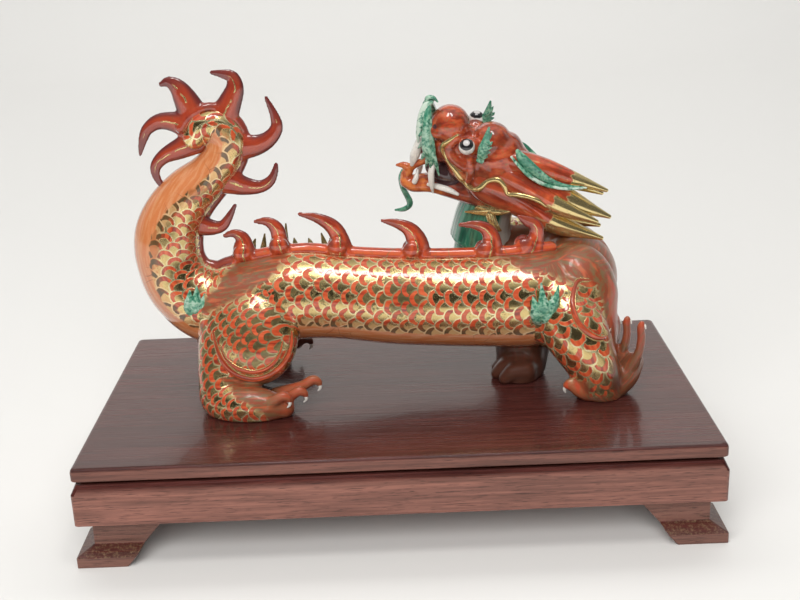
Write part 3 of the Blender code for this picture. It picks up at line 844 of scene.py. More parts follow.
def fused(shapes: Sequence[Shape], voxel: float, softening: int) -> tuple[np.ndarray, np.ndarray]:
    """Melt overlapping closed surfaces into one even skin of quads.

    Args:
        shapes: The surfaces.
        voxel: Size of the quads in millimetres.
        softening: Smoothing passes.

    Returns:
        Places in millimetres and faces. Soles are pressed flat over the board.
    """
    whole = joined(shapes)
    mesh = mesh_of("melt", whole.vertices, whole.quads.tolist() + whole.triangles.tolist())
    holder = bpy.data.objects.new("melt", mesh)
    bpy.context.scene.collection.objects.link(holder)
    melt = holder.modifiers.new("melt", "REMESH")
    melt.mode = "VOXEL"
    melt.voxel_size = voxel
    soften = holder.modifiers.new("soften", "SMOOTH")
    soften.factor = 0.5
    soften.iterations = softening
    graph = bpy.context.evaluated_depsgraph_get()
    result = holder.evaluated_get(graph).to_mesh()
    places = np.empty(len(result.vertices) * 3)
    result.vertices.foreach_get("co", places)
    corners = np.empty(len(result.loops), dtype=np.int32)
    result.loops.foreach_get("vertex_index", corners)
    bpy.data.objects.remove(holder, do_unlink=True)
    bpy.data.meshes.remove(mesh)
    places = places.reshape(-1, 3)
    places[:, 2] = np.maximum(places[:, 2], SOLE_GAP)
    return places, corners.reshape(-1, 4)


def to_world(places: np.ndarray) -> np.ndarray:
    """Station millimetres as metres in the frame."""
    return places * MM + np.array([0.0, 0.0, BOARD_TOP])


def add_piece(name: str, mesh: bpy.types.Mesh, finish: Finish, slot: Slot = Slot.PORCELAIN,
              replaces: Sequence[str] = ()) -> bpy.types.Object:
    """Put a finished mesh into the scene as a piece of the object."""
    mesh.materials.append(finish.material(name))
    piece = bpy.data.objects.new(name, mesh)
    bpy.context.scene.collection.objects.link(piece)
    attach(piece, "root")
    if replaces:
        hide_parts(*replaces)
    LOG.info("%s: %d faces", name, len(mesh.polygons))
    return piece


def add_swept(name: str, shapes: Sequence[Shape], finish: Finish) -> bpy.types.Object:
    """Add swept surfaces as one piece, with their own UV map."""
    whole = joined(shapes)
    mesh = mesh_of(name, to_world(whole.vertices), whole.quads.tolist() + whole.triangles.tolist())
    mesh.uv_layers.new(name="own").uv.foreach_set("vector", whole.uv.ravel())
    return add_piece(name, mesh, finish)


class Chart:
    """Measures places by a centre line: along it, round it, and out from it.

    The zero turn is carried along the line from a start without twisting.
    """

    def __init__(self, rows: Rows, back: Sequence[float], start: float = 0.5, steps: int = 10) -> None:
        """Lay the chart.

        Args:
            rows: Stations of x, y, z, radius.
            back: Direction of the zero turn at the start.
            start: Where along the line that direction holds, as a share.
            steps: Samples between stations.
        """
        path = smooth_path(rows, steps)
        self.points = path[:, :3]
        self.radius = path[:, 3]
        self.tangent = unit(np.gradient(self.points, axis=0))
        gaps = np.linalg.norm(np.diff(self.points, axis=0), axis=1)
        self.length = np.concatenate([[0.0], np.cumsum(gaps)])
        self.back = np.zeros_like(self.points)
        origin = int(start * (len(self.points) - 1))
        for order in (range(origin, len(self.points)), range(origin, -1, -1)):
            carried = np.array(back, dtype=float)
            for k in order:
                tangent = self.tangent[k]
                carried = carried - tangent * (carried @ tangent)
                carried /= np.linalg.norm(carried)
                self.back[k] = carried
        self.side = np.cross(self.tangent, self.back)

    def measure(self, places: np.ndarray) -> tuple[np.ndarray, ...]:
        """Measure places.

        Args:
            places: Rows of x, y, z in station millimetres.

        Returns:
            Distance along, turn in radians, distance from the line's surface, the line's
            radius there, and distance from the line itself.
        """
        nearest = np.empty(len(places), dtype=int)
        for start in range(0, len(places), 20000):
            block = places[start:start + 20000]
            apart = np.linalg.norm(block[:, None] - self.points[None], axis=2)
            nearest[start:start + 20000] = np.argmin(apart - self.radius[None], axis=1)
        offset = places - self.points[nearest]
        step = np.einsum("ij,ij->i", offset, self.tangent[nearest])
        along = self.length[nearest] + step
        x = np.einsum("ij,ij->i", offset, self.back[nearest])
        y = np.einsum("ij,ij->i", offset, self.side[nearest])
        apart = np.linalg.norm(offset, axis=1)
        return along, np.arctan2(y, x), apart - self.radius[nearest], self.radius[nearest], apart


def across_body(y: float, side: Side, middle: float = 8.0) -> float:
    """Carry a near-side y over to the far side."""
    return y if side is Side.NEAR else 2 * middle - y


# Dragon


@dataclass
class Skin:
    """Tail, trunk, neck and legs, fused, with the fish scales painted on.

    The scale pattern is laid by distance along the spine or leg and distance round it.
    """

    voxel: float = 1.12
    softening: int = 5
    spine: tuple = (
        (-112, 6, 159, 7), (-107, 7, 164.5, 8.6), (-99, 9, 165, 9.8), (-93.5, 10, 157, 11),
        (-96.5, 11, 146.5, 12), (-106, 12, 135.5, 13.2), (-119, 12, 124.5, 16), (-129, 12, 112, 18.3),
        (-134.5, 11, 98, 20), (-134, 10, 82, 20.3), (-127, 9, 67, 21.8), (-110, 8, 56, 25),
        (-84, 8, 56, 28), (-57, 8, 60, 28), (-31, 8, 58, 27), (4, 8, 54, 28),
        (53, 8, 51.5, 29), (88, 9, 51.5, 30), (106, 21, 52, 28.5), (115, 38, 55, 27.5),
        (112, 56, 59, 26), (97, 68, 61, 24), (76, 71, 63, 22), (62, 67, 71, 19.5),
        (60, 60, 88, 17), (64, 54, 104, 15.5), (70, 48, 120, 16))
    belly_turns: tuple = ((0, 1.50), (5, 1.50), (7, 1.74), (10, 2.02), (26, 2.08))
    haunch_lean: float = 0.42
    hind_toes: tuple = ((-44, 0, -7), (-35, -1, 2), (-26, 2, 10))
    fingers: tuple = ((-26, 144.5, 45), (-14, 138.5, 44), (-3, 134.5, 40))
    fore_leg: tuple = ((143, -20, 18, 6), (137, -23, 10, 8), (126, -26, 4, 9), (120, -27, 8, 14),
                       (116, -26, 22, 16), (110, -22, 34, 18.5), (104, -14, 46, 20), (100, -8, 58, 20))
    far_leg: tuple = ((68, 5, 3, 9), (77, 5, 3, 12), (79, 11, 6, 15), (80, 18, 14, 17),
                      (82, 24, 26, 18.5), (88, 26, 38, 22))

    def hind_leg(self, side: Side) -> Iterator[Shape]:
        """Haunch, shank, flat foot and three raised toes."""
        back = 0 if side is Side.NEAR else 9

        def put(rows: Rows) -> list:
            """Move rows to the side."""
            return [(x - back, across_body(y, side), z, r) for x, y, z, r in rows]

        lean = side.value * self.haunch_lean
        axes = np.array([[1, 0, 0], [0, np.cos(lean), np.sin(lean)], [0, -np.sin(lean), np.cos(lean)]])
        yield ball((-83.5 - back, across_body(-16, side), 43), (26, 18, 30), axes, 48, 32)
        yield swept(put([(-94, -8, 50, 18), (-101.5, -12, 40, 16), (-104.5, -17, 28, 14.2),
                         (-105.5, -23, 17, 13), (-106, -28, 8, 11.5), (-98, -34, 7, 12),
                         (-87, -37, 7, 12), (-76, -38, 6, 10), (-67, -38, 5, 6.5)]), 32)
        for outer, height, reach in self.hind_toes:
            yield swept(put([(-78 + reach / 2, outer + 4, 6, 5), (-67 + reach, outer, 11 + height, 3.4),
                             (-60 + reach, outer, 15 + height, 3.1),
                             (-56.5 + reach, outer, 13.5 + height, 2.3),
                             (-56 + reach, outer, 11.5 + height, 1.7)]), 16)

    def near_fore_leg(self) -> Iterator[Shape]:
        """Standing fore leg whose paw turns out to the right with three raised toes."""
        yield ball((101, -8, 47), (24, 19, 24))
        yield swept([(104, -14, 44, 20), (110, -22, 34, 18.5), (116, -26, 22, 16), (120, -27, 10, 14),
                     (123, -26, 2, 12)], 32)
        yield swept([(107, 19, 69, 13.5), (110, 12, 65, 22), (113, 6, 54, 24), (115, 0, 42, 21.5),
                     (118, -6, 30, 18), (120, -12, 20, 14)], 32)
        yield swept([(115, -28, 3, 8), (126, -26, 4, 9), (137, -23, 10, 8), (143, -20, 18, 6)])
        for y, x, top in self.fingers:
            yield swept([(x - 8, y + 2, 11, 5.5), (x - 1, y, 24, 3.1), (x + 1, y, 34, 2.6),
                         (x + 0.5, y, top - 3, 2.5), (x + 1, y, top - 0.5, 2.0)], 16)
        yield swept([(115, -32, 3, 5), (107, -34, 7, 3.8), (103, -34, 11.5, 3.2), (100.5, -34, 10.5, 2.6)], 16)

    def far_fore_leg(self) -> Iterator[Shape]:
        """Fore leg on the far side, stepping in under the chest."""
        yield swept([(88, 26, 38, 22), (82, 24, 26, 18.5), (80, 18, 14, 17), (79, 11, 6, 15),
                     (77, 5, 3, 12)], 32)
        for y, x in ((-3, 70), (6, 66), (15, 67)):
            yield swept([(x + 10, y + 2, 7, 7), (x + 2, y, 7, 5.4), (x - 3, y, 3, 4.2)])

    def shapes(self) -> list[Shape]:
        """All surfaces that are fused into the skin."""
        parts = [swept(self.spine, 48, 8), ball(self.spine[0][:3], (7, 7, 7))]
        for side in Side:
            parts += self.hind_leg(side)
        return parts + [*self.near_fore_leg(), *self.far_fore_leg()]

    def over_haunch(self, x: np.ndarray, z: np.ndarray) -> np.ndarray:
        """How far inside the faded strip between back and haunch a place lies."""
        low = np.interp(x, [-113, -105, -89, -76.5, -65, -58], [56.6, 59.5, 67.5, 73.9, 83.2, 91.5])
        high = np.interp(x, [-113, -100, -94, -85, -76], [64, 79, 84, 92, 110])
        return np.where((x > -114) & (x < -55), np.minimum(z - low, high - z), -40.0)

    def wear(self, places: np.ndarray) -> np.ndarray:
        """How worn the gilding is, with a painted dark reflection on the trunk's flank, and how much painted shade
        darkens the glaze, from soft spots at x, z and sizes.
        """
        x, y, z = places.T

        def spot(px: float, pz: float, wide: float, high: float) -> np.ndarray:
            """Bell of height 1 over an oval."""
            return np.exp(-((x - px) / wide) ** 2 - ((z - pz) / high) ** 2)

        # Soft ovals of worn gilding; the oval at x -34, z 65 is no wear but a painted dark reflection along the trunk's
        # upper flank.
        worn_and_dark_reflection = (spot(-84, 46, 24, 24) + spot(-34, 65, 26, 7) * 0.7 + spot(8, 62, 13, 13) * 1.1
                 + spot(20, 33, 60, 5) * 0.8 + spot(118, 8, 22, 13) + spot(-112, 20, 9, 26) * 0.8
                 + spot(-140, 105, 6, 26) + spot(-112, 130, 8, 9) + spot(112, 64, 22, 9) * 0.8)
        # Painted shade: the far hind feet, the far fore paw, the hollow between the neck hair and the neck loop, and
        # the low near parts by the board; the bottom of the near fore foot and its palm are darkened the same way.
        far = np.clip((y - 10) / 5, 0, 1) * np.clip((30 - z) / 8, 0, 1) * (x < -20)
        paw = np.clip((26 - z) / 8, 0, 1) * np.clip((99 - x) / 5, 0, 1) * np.clip((x - 50) / 4, 0, 1)
        sole = np.clip((27 - z) / 14, 0, 1) * np.clip((z - 5) / 4, 0, 1) * np.clip((x - 108) / 6, 0, 1)
        sole = sole * np.clip((140 - x) / 8, 0, 1)
        throat_shade = np.clip((x - 66) / 5, 0, 1) * np.clip((92 - x) / 6, 0, 1)
        throat_shade = throat_shade * np.clip((z - 66) / 10, 0, 1) * np.clip((62 - y) / 8, 0, 1) * np.clip((y - 24) / 6, 0, 1)
        palm = np.clip((x - 126) / 6, 0, 1) * np.clip((46 - z) / 6, 0, 1)
        under = np.clip((9 - z) / 9, 0, 1) * np.clip((14 - y) / 6, 0, 1)
        painted_shade = np.maximum.reduce([far * 0.80, paw * 0.88, sole * 0.66, throat_shade * 0.85, palm * 0.34, under * 0.34])
        return np.stack([np.clip(worn_and_dark_reflection, 0, 1), painted_shade], axis=-1)

    def zones(self, places: np.ndarray, faces: np.ndarray) -> tuple[np.ndarray, np.ndarray]:
        """Lay the scale pattern and the painted zones.

        Args:
            places: Vertices in station millimetres.
            faces: Quads.

        Returns:
            Per face corner: pattern coordinates in millimetres, and how far inside the
            belly and the plain zone a corner lies.
        """
        trunk = Chart(self.spine, (0, 0, 1), 0.55)
        fore = Chart(self.fore_leg, (0, -1, 0), 0.7)
        far = Chart(self.far_leg, (0, 1, 0), 0.7)
        x, y, z = places.T
        along, turn, out, radius, _ = trunk.measure(places)
        marks = [trunk.length[k * 10] for k, _ in self.belly_turns]
        limit = np.interp(along, marks, [t for _, t in self.belly_turns])
        belly = (np.abs(turn) - limit) * radius
        above = z - np.interp(x, [30, 51.6, 68, 85, 100, 119], [96, 81.7, 78.6, 72, 70.2, 64.7])
        above = np.where(x > 0, above, self.over_haunch(x, z))
        right = x - np.interp(z, [20, 38, 52.5, 64.7], [126, 125.1, 123.6, 118.8])
        inside = np.where(along > trunk.length[190], 20.0, -40.0)
        plain = np.maximum.reduce([above, right, inside])
        plain = plain - np.clip((y - 58) * 5, 0, 60) * (x > 60)
        belly = np.where(along < 13, -20.0, belly)
        belly = np.maximum(np.where(x > 108, belly - (x - 108) * 2, belly), -40.0)
        charts = [(out, along, turn * radius, belly, plain)]
        clear = 40 * Scales.half_row
        for side in Side:
            back = 0 if side is Side.NEAR else 9
            near_y = y if side is Side.NEAR else 16 - y
            haunch = np.stack([(x + 83.5 + back) / 26, (near_y + 16) / 18, (z - 43) / 30], axis=-1)
            haunch_out = (np.linalg.norm(haunch, axis=1) - 1) * 20
            leg = Chart([(-94 - back, across_body(-8, side), 50, 18), (-104 - back, across_body(-17, side), 29, 15),
                         (-106 - back, across_body(-28, side), 8, 12), (-87 - back, across_body(-37, side), 7, 12),
                         (-70 - back, across_body(-38, side), 7, 7), (-56 - back, across_body(-34, side), 14, 6)],
                        (0, side.value, 0))
            leg_out = leg.measure(places)[2]
            toes = z - np.interp(x + back, [-106, -98, -92, -85, -78, -72], [27, 18, 15, 11, 5, -8])
            toes = np.where((z < 24) & (x + back > -104), toes * 1.2, -40.0)
            inner = np.maximum(near_y - 4, self.over_haunch(x, z))
            ruddy = -40 - 10.5 * np.clip((x + back + 76) / 10, 0, 1) * (z < 26)
            charts.append((np.minimum(haunch_out, leg_out), x - 0.8 * (near_y + 30),
                           z + 0.7 * (near_y + 30) + clear, ruddy, np.maximum(toes, inner)))
        along, turn, out, radius, _ = fore.measure(places)
        palm = x - np.interp(z, [0, 11.7, 21.7, 31.4, 40.8, 60], [138, 134.5, 128.5, 127, 128, 124])
        spur = np.where((x < 114) & (z < 16), np.minimum(114 - x, 16 - z), -30.0)
        spur = np.maximum(spur, np.where((x < 136) & (z < 8), 5 - z, -30.0))
        shoulder = np.stack([(x - 101) / 24, (y + 8) / 19, (z - 47) / 24], axis=-1)
        out = np.minimum(out, (np.linalg.norm(shoulder, axis=1) - 1) * 20)
        limits = np.maximum.reduce([palm, spur, np.where(z > 40, above, -40.0), right])
        fingers = np.clip((z - 24) / 10, 0, 1) * (x > 128)
        sole = np.clip((16 - z) / 4, 0, 1) * np.clip((116 - x) / 8, 0, 1)
        ruddy = -40 - 16 * np.maximum(fingers * 0.8, sole)
        charts.append((out, along, turn * 17.0 + clear, ruddy, limits))
        along, turn, out, radius, _ = far.measure(places)
        charts.append((out, along, turn * 17.0 + clear, np.full_like(x, -40.0), 30.0 - z))

        owner = np.argmin(np.stack([c[0][faces].mean(axis=1) for c in charts]), axis=0)
        owners = np.repeat(owner, 4)
        corners = faces.ravel()
        table = np.stack([np.stack(c[1:], axis=-1) for c in charts])
        values = table[owners, corners]
        return values[:, :2], values[:, 2:]

    def build(self) -> tuple[np.ndarray, np.ndarray]:
        """Fuse, paint and add the skin; returns its places and faces."""
        places, faces = fused(self.shapes(), self.voxel, self.softening)
        pattern, zones = self.zones(places, faces)
        mesh = mesh_of("dragon_skin", to_world(places), faces.tolist())
        mesh.uv_layers.new(name="scales").uv.foreach_set("vector", pattern.ravel())
        mesh.uv_layers.new(name="zones").uv.foreach_set("vector", zones.ravel())
        # The wear map carries worn gilding with a painted dark reflection band, and painted shade.
        wear = self.wear(places)[faces.ravel()]
        mesh.uv_layers.new(name="wear").uv.foreach_set("vector", wear.ravel())
        add_piece("dragon_skin", mesh, Scales(), replaces=["dragon"])
        return places, faces


@dataclass
class Crest:
    """Ridge along the back and tail with the hooked flames, fused."""

    voxel: float = 0.8
    softening: int = 4
    thinness: float = 0.5
    marks: tuple = (0, 3, 9, 12, 18)
    radii: tuple = (3.2, 3.2, 3.4, 4.3, 4.3)
    proud: tuple = (5.4, 2.6, 1.6, 4.2, 4.6)
    tail_flames: tuple = (
        ((-95, 132, 8.5), (-86, 128.5, 6), (-77, 127.5, 4.2), (-71, 130, 3.4), (-67.5, 135, 2.5),
         (-66, 140.5, 1.5)),
        ((-88, 152, 9), (-77, 152.5, 6.5), (-69, 156, 5), (-64, 162.5, 3.9), (-65, 170, 2.8),
         (-69, 180, 1.4)),
        ((-95, 169, 9), (-90, 178, 7), (-86.5, 186, 5.5), (-87.5, 192.5, 4), (-93, 194.5, 2.8),
         (-99, 195.5, 1.5)),
        ((-111, 170, 9), (-115, 180, 7.5), (-119, 187.5, 5.5), (-124, 191, 3.6), (-128.5, 190, 1.8)),
        ((-113, 164, 8.5), (-123, 168, 6.3), (-132, 168.5, 4.8), (-139, 164.5, 3.7), (-142.5, 158, 2.8),
         (-145, 149.5, 1.3)),
        ((-112, 156, 7.5), (-122, 152, 6.3), (-131, 148, 4.6), (-136.5, 142.5, 3.5), (-137, 136.5, 2.7),
         (-134, 130, 2.0)),
        ((-118, 107, 8), (-108, 104, 5.4), (-101, 104.5, 3.7), (-96.5, 109.5, 2.7), (-92, 117, 1.4)))
    back_flames: tuple = (
        ((-88, 80, 9), (-89, 89, 7), (-89.5, 96, 4.8), (-94, 99.4, 3), (-100, 98.2, 1.5)),
        ((-66, 84, 8), (-67, 94, 5.2), (-68.5, 101.5, 4.6), (-73.5, 106, 3.2), (-81, 106.5, 1.4)),
        ((-31, 82, 9.5), (-30.5, 92, 6), (-34.5, 101, 5), (-43, 106.8, 3.4), (-54, 110, 1.4)),
        ((14, 78, 10), (15.5, 89, 7), (11.5, 97.5, 5), (4, 101.7, 3.2), (-5, 104, 1.4)),
        ((58, 76, 9.5), (60.5, 88, 6.2), (58, 95.5, 4.5), (51, 99, 3.1), (41.5, 99.5, 1.4)),
        ((82, 77, 9.5), (87.5, 88.5, 5.4), (87.5, 96, 4.2), (82, 99.5, 3.4), (77, 102.5, 1.4)))

    def depth(self, x: float) -> float:
        """y of the back's middle line over this x."""
        return float(np.interp(x, [-130, -100, -60, 60, 90], [8, 9, 8, 8, 12]))

    def ridge_rows(self, spine: Rows) -> np.ndarray:
        """Stations of the ridge bead, on the outer side of the spine's bends."""
        path = smooth_path(spine, 5)
        steps = unit(np.gradient(path[:, :3], axis=0))
        outward = unit(np.cross(steps, (0.0, 1.0, 0.0)))
        marks = np.array(self.marks) * 5
        along = np.arange(marks[-1])
        radius = np.interp(along, marks, self.radii)
        lift = path[along, 3] + np.interp(along, marks, self.proud) - radius
        bead = path[along, :3] + outward[along] * lift[:, None]
        return np.hstack([bead, radius[:, None]])[::3]

    def flame_rows(self) -> list[list]:
        """Stations of all flames."""
        return [[(x, self.depth(flame[0][0]), z, r) for x, z, r in flame]
                for flame in self.tail_flames + self.back_flames]

    def lobes(self) -> Iterator[Shape]:
        """Round lobes at the foot of the back flames."""
        for flame in self.back_flames:
            x, z, _ = flame[0]
            y = self.depth(x)
            for out in (-3.4, 3.4):
                yield ball((x - 1.6, y + out, z + 7.6), (6.0, 3.8, 5.4))

    def build(self, spine: Rows) -> None:
        """Fuse, paint and add the crest."""
        ridge = self.ridge_rows(spine)
        flames = self.flame_rows()
        shapes = [swept(ridge, 16, 3), *self.lobes()]
        shapes += [swept(rows, 24, 6, ((0, 1, 0), self.thinness)) for rows in flames]
        places, faces = fused(shapes, self.voxel, self.softening)
        measures = [Chart(ridge, (0, -1, 0), 0.5, 4).measure(places)]
        shares = [np.zeros(len(places))]
        for rows in flames:
            flat = places.copy()
            flat[:, 1] = rows[0][1]
            chart = Chart(rows, (0, 1, 0), 0.5)
            measured = chart.measure(flat)
            measures.append(measured)
            shares.append(measured[0] / chart.length[-1])
        reach = np.stack([m[2][faces].mean(axis=1) for m in measures])
        reach[0] -= 0.8
        owner = np.repeat(np.argmin(reach, axis=0), 4)
        corners = faces.ravel()
        share = np.stack(shares)[owner, corners]
        lateral = np.stack([np.sin(m[1]) * m[4] / m[3] for m in measures])[owner, corners]
        along = measures[0][0][corners]
        mesh = mesh_of("dragon_crest", to_world(places), faces.tolist())
        flame_uv = np.stack([share, lateral], axis=-1)
        kind = (owner > 0) * 0.5 + (owner > len(self.tail_flames)) * 0.5
        ridge_uv = np.stack([along, kind], axis=-1)
        mesh.uv_layers.new(name="flame").uv.foreach_set("vector", flame_uv.ravel())
        mesh.uv_layers.new(name="ridge").uv.foreach_set("vector", ridge_uv.ravel())
        add_piece("dragon_crest", mesh, CrestEnamel())


@dataclass
class HeadFrame:
    """The head's own directions: front to the nose, far to the far eye, and up."""

    middle: tuple = (52.0, 41.0, 147.7)

    def __post_init__(self) -> None:
        """Work out the three directions."""
        self.far = unit(np.array([0.23, 0.93, 0.28]))
        front = np.array([-0.92, 0.0, 0.38])
        self.front = unit(front - self.far * (front @ self.far))
        self.up = np.cross(self.far, self.front)
        self.axes = np.stack([self.front, self.far, self.up])

    def place(self, front: float, far: float, up: float) -> np.ndarray:
        """Head distances as a place in the figure."""
        return np.array(self.middle) + np.array([front, far, up]) @ self.axes

    def rows(self, rows: Rows, side: Side = Side.NEAR) -> list:
        """Rows of front, distance to the side, up and radius as stations."""
        return [(*self.place(f, side.value * out, up), r) for f, out, up, r in rows]

    def laid(self, tree: BVHTree, rows: Rows, side: Side) -> list:
        """Rows of front, up, radius laid on a surface from one side of the head."""
        inward = Vector(-side.value * self.far)
        stations = []
        for f, up, radius in rows:
            hit = tree.ray_cast(Vector(self.place(f, side.value * 60.0, up)), inward)[0]
            if hit:
                stations.append((*(hit - inward * radius * 0.3), radius))
        return stations

    def local(self, places: np.ndarray) -> np.ndarray:
        """Places in the figure as head distances."""
        return (places - np.array(self.middle)) @ self.axes.T


HEAD = HeadFrame()


@dataclass
class Head:
    """Skull, muzzle and jaws, fused, with the mouth painted inside."""

    voxel: float = 0.72
    softening: int = 11

    def shapes(self) -> Iterator[Shape]:
        """All surfaces that are fused into the head."""
        yield swept(HEAD.rows([(-13, 0, -3, 14), (-19, 0, -6, 17), (-28, 0, -10, 15.5), (-40, 0, -13, 13)]), 36)
        for place, radii in (((-19, 0, -10), (18, 17, 17.5)), ((-13, 0, -1), (13, 14, 13.5)),
                             ((14.6, 0, -0.5), (12.5, 13, 12.8)), ((-6, 0, -17), (16, 17, 15)),
                             ((-22, 0, -26), (17, 17, 14))):
            yield ball(HEAD.place(*place), radii, HEAD.axes, 40, 26)
        yield swept(HEAD.rows([(4, 0, -8, 12), (13, 0, -15, 11.5), (17, 0, -21, 9)]), 32)
        yield swept(HEAD.rows([(-22, 0, -16, 16), (-40, 0, -16, 14), (-58, 0, -16, 10),
                               (-70, 0, -16, 6)]), 32)
        yield swept(HEAD.rows([(-22, 0, -33, 11), (-6, 0, -39, 7.5), (10, 0, -43.5, 5.8),
                               (20, 0, -49, 5.2), (26, 0, -50, 4)]), 24, 6, (HEAD.far, 1.5))
        yield swept(HEAD.rows([(20, 0, -50, 4.4), (27, 0, -47, 3.8), (27, 0, -41, 3.2),
                               (31, 0, -40, 2.4), (35, 0, -42, 1.2)]), 18)
        yield swept(HEAD.rows([(27, 0, -41, 2.6), (24, 2, -34, 2.6), (18, 4, -27, 1.8)]), 18)
        yield ball(HEAD.place(6, 0, -33), (13, 8, 6.5), HEAD.axes, 28, 18)
        for side in Side:
            yield ball(HEAD.place(-1.5, side.value * 11.5, -2), (7, 5, 6), HEAD.axes)
            yield swept(HEAD.rows([(22, 5, -3, 3.5), (23, 8, -3, 3.2), (20, 10.5, -4, 3)], side), 16)
            yield swept(HEAD.rows([(8, 12, 0, 2.6), (10, 12.5, -8, 3), (5, 14.5, -13, 3),
                                   (-3, 16, -15, 2.6)], side), 16)
            yield swept(HEAD.rows([(-4, 15, -8, 2.2), (-8, 17, -15, 2.6), (-9, 17, -22, 2)], side), 16)

    def masks(self, places: np.ndarray) -> np.ndarray:
        """Painted areas as red, green and blue: orange jaw, pale gums and palate, and painted shade in the mouth,
        nostrils, creases and under the head.
        """
        front, far, up = HEAD.local(places).T

        def spot(f: float, l: float, u: float, size: float, soft: float = 2.0) -> np.ndarray:
            """1 within size of a place on either side, fading over soft."""
            reach = np.sqrt((front - f) ** 2 + (np.abs(far) - l) ** 2 + (up - u) ** 2)
            return np.clip((size + soft / 2 - reach) / soft, 0, 1)

        lower = np.clip((-38.5 - 0.25 * (front - 10) - up) / 2, 0, 1) * np.clip((front + 2) / 4, 0, 1)
        curl = np.clip((front - 15) / 3, 0, 1) * np.clip((-24 - up) / 2, 0, 1)
        orange = np.maximum(lower, curl)
        pale = np.maximum.reduce([spot(28, 3, -17, 5), spot(29, 4, -9, 3.5)])
        # Painted shade: inside the mouth, at the nostrils, in the creases behind the frill, and darker towards the
        # bottom of the head.
        lining = np.sqrt(((front - 6) / 14.2) ** 2 + (far / 9.2) ** 2 + ((up + 33) / 7.4) ** 2)
        throat_shade = np.clip((-20 - up) / 14, 0, 0.42) * np.clip((6 - front) / 8, 0, 1)
        dark = np.maximum.reduce([np.clip((1.08 - lining) / 0.1, 0, 1), throat_shade, spot(12, 3, -33, 7), spot(4, 4, -32, 7),
                                  spot(18, 0, -30, 5), spot(22.4, 9.4, -0.5, 1.8, 1.2),
                                  spot(-5.6, 16.5, -11.5, 2.2, 2.5) * 0.6, spot(-8.0, 16.8, -17.5, 2.2, 2.5) * 0.6])
        pale = pale * (1 - dark * 0.8)
        return np.stack([orange, pale, dark, np.ones_like(dark)], axis=-1)

    def build(self) -> tuple[np.ndarray, np.ndarray]:
        """Fuse, paint and add the head; returns its places and faces."""
        places, faces = fused(list(self.shapes()), self.voxel, self.softening)
        mesh = mesh_of("dragon_head", to_world(places), faces.tolist())
        paint = mesh.color_attributes.new("masks", "FLOAT_COLOR", "POINT")
        paint.data.foreach_set("color", self.masks(places).ravel())
        add_piece("dragon_head", mesh, HeadEnamel())
        return places, faces


@dataclass
class Mane:
    """Horns and swept locks behind the head, and the ears."""

    far_drop: float = 8.0
    far_spread: float = 0.75

    def lay(self, rows: Rows, side: Side) -> list:
        """Rows on one side of the head; the far side's lie lower and closer in."""
        drop, spread = (0.0, 1.0) if side is Side.NEAR else (self.far_drop, self.far_spread)
        return HEAD.rows([(f, out * spread, up - drop, r) for f, out, up, r in rows], side)

    def build(self) -> Shape:
        """Add horns, locks and ears; returns the near and far horns and locks as one surface."""

        def grooved(angle: np.ndarray) -> np.ndarray:
            """Section with soft grooves."""
            return 1 + 0.035 * np.cos(3 * angle)

        locks = {
            "horns": (0.70, ((-16, 5, -8, 6), (-30, 7.5, -1.5, 7.2), (-48, 7, 1, 7), (-66, 6, 2, 5),
                             (-89, 5, 3.5, 1.2))),
            "upper_locks": (0.58, ((-36, 6, -11, 8), (-50, 8, -10, 8), (-75, 9, -11, 5.8), (-98, 8, -11, 1.4))),
            "middle_locks": (0.62, ((-20, 6, -14, 8), (-38, 12, -12, 8), (-64, 15, -14, 6.5), (-91, 16, -13, 1.4))),
            "lower_locks": (0.64, ((-14, 6, -23, 10), (-24, 9.5, -24, 11), (-42, 10, -24, 10), (-70, 13, -27, 7),
                                   (-99, 15, -23, 1.4)))}
        laid = []
        for name, (turns, rows) in locks.items():
            shapes = [swept(self.lay(rows, side), 28, 10, section=grooved) for side in Side]
            add_swept("dragon_" + name, shapes, Horn(turns))
            laid += shapes
        ears = [swept(self.lay([(-28.5, 14.5, 9.5, 1.4), (-33, 15.5, 6.5, 3.4), (-42, 15.5, 2.5, 3.6),
                                (-53, 14.5, -0.5, 2.4), (-64, 13, -0.5, 1.4), (-74, 12, 3, 0.6)], side),
                      20, 8, (HEAD.far, 0.45)) for side in Side]
        add_swept("dragon_ears", ears, Green(0.0))
        rims = [swept(self.lay([(-26.5, 16.0, 5.0, 0.7), (-34, 17.6, 1.8, 1.2), (-43.5, 17.5, -1.9, 1.3),
                                (-54, 15.8, -3.4, 1.2), (-66, 13.5, -1.4, 1.1), (-76, 12, 3.5, 0.6)], side),
                      14, 8) for side in Side]
        add_swept("dragon_ear_rims", rims, Green(0.9))
        return joined(laid)


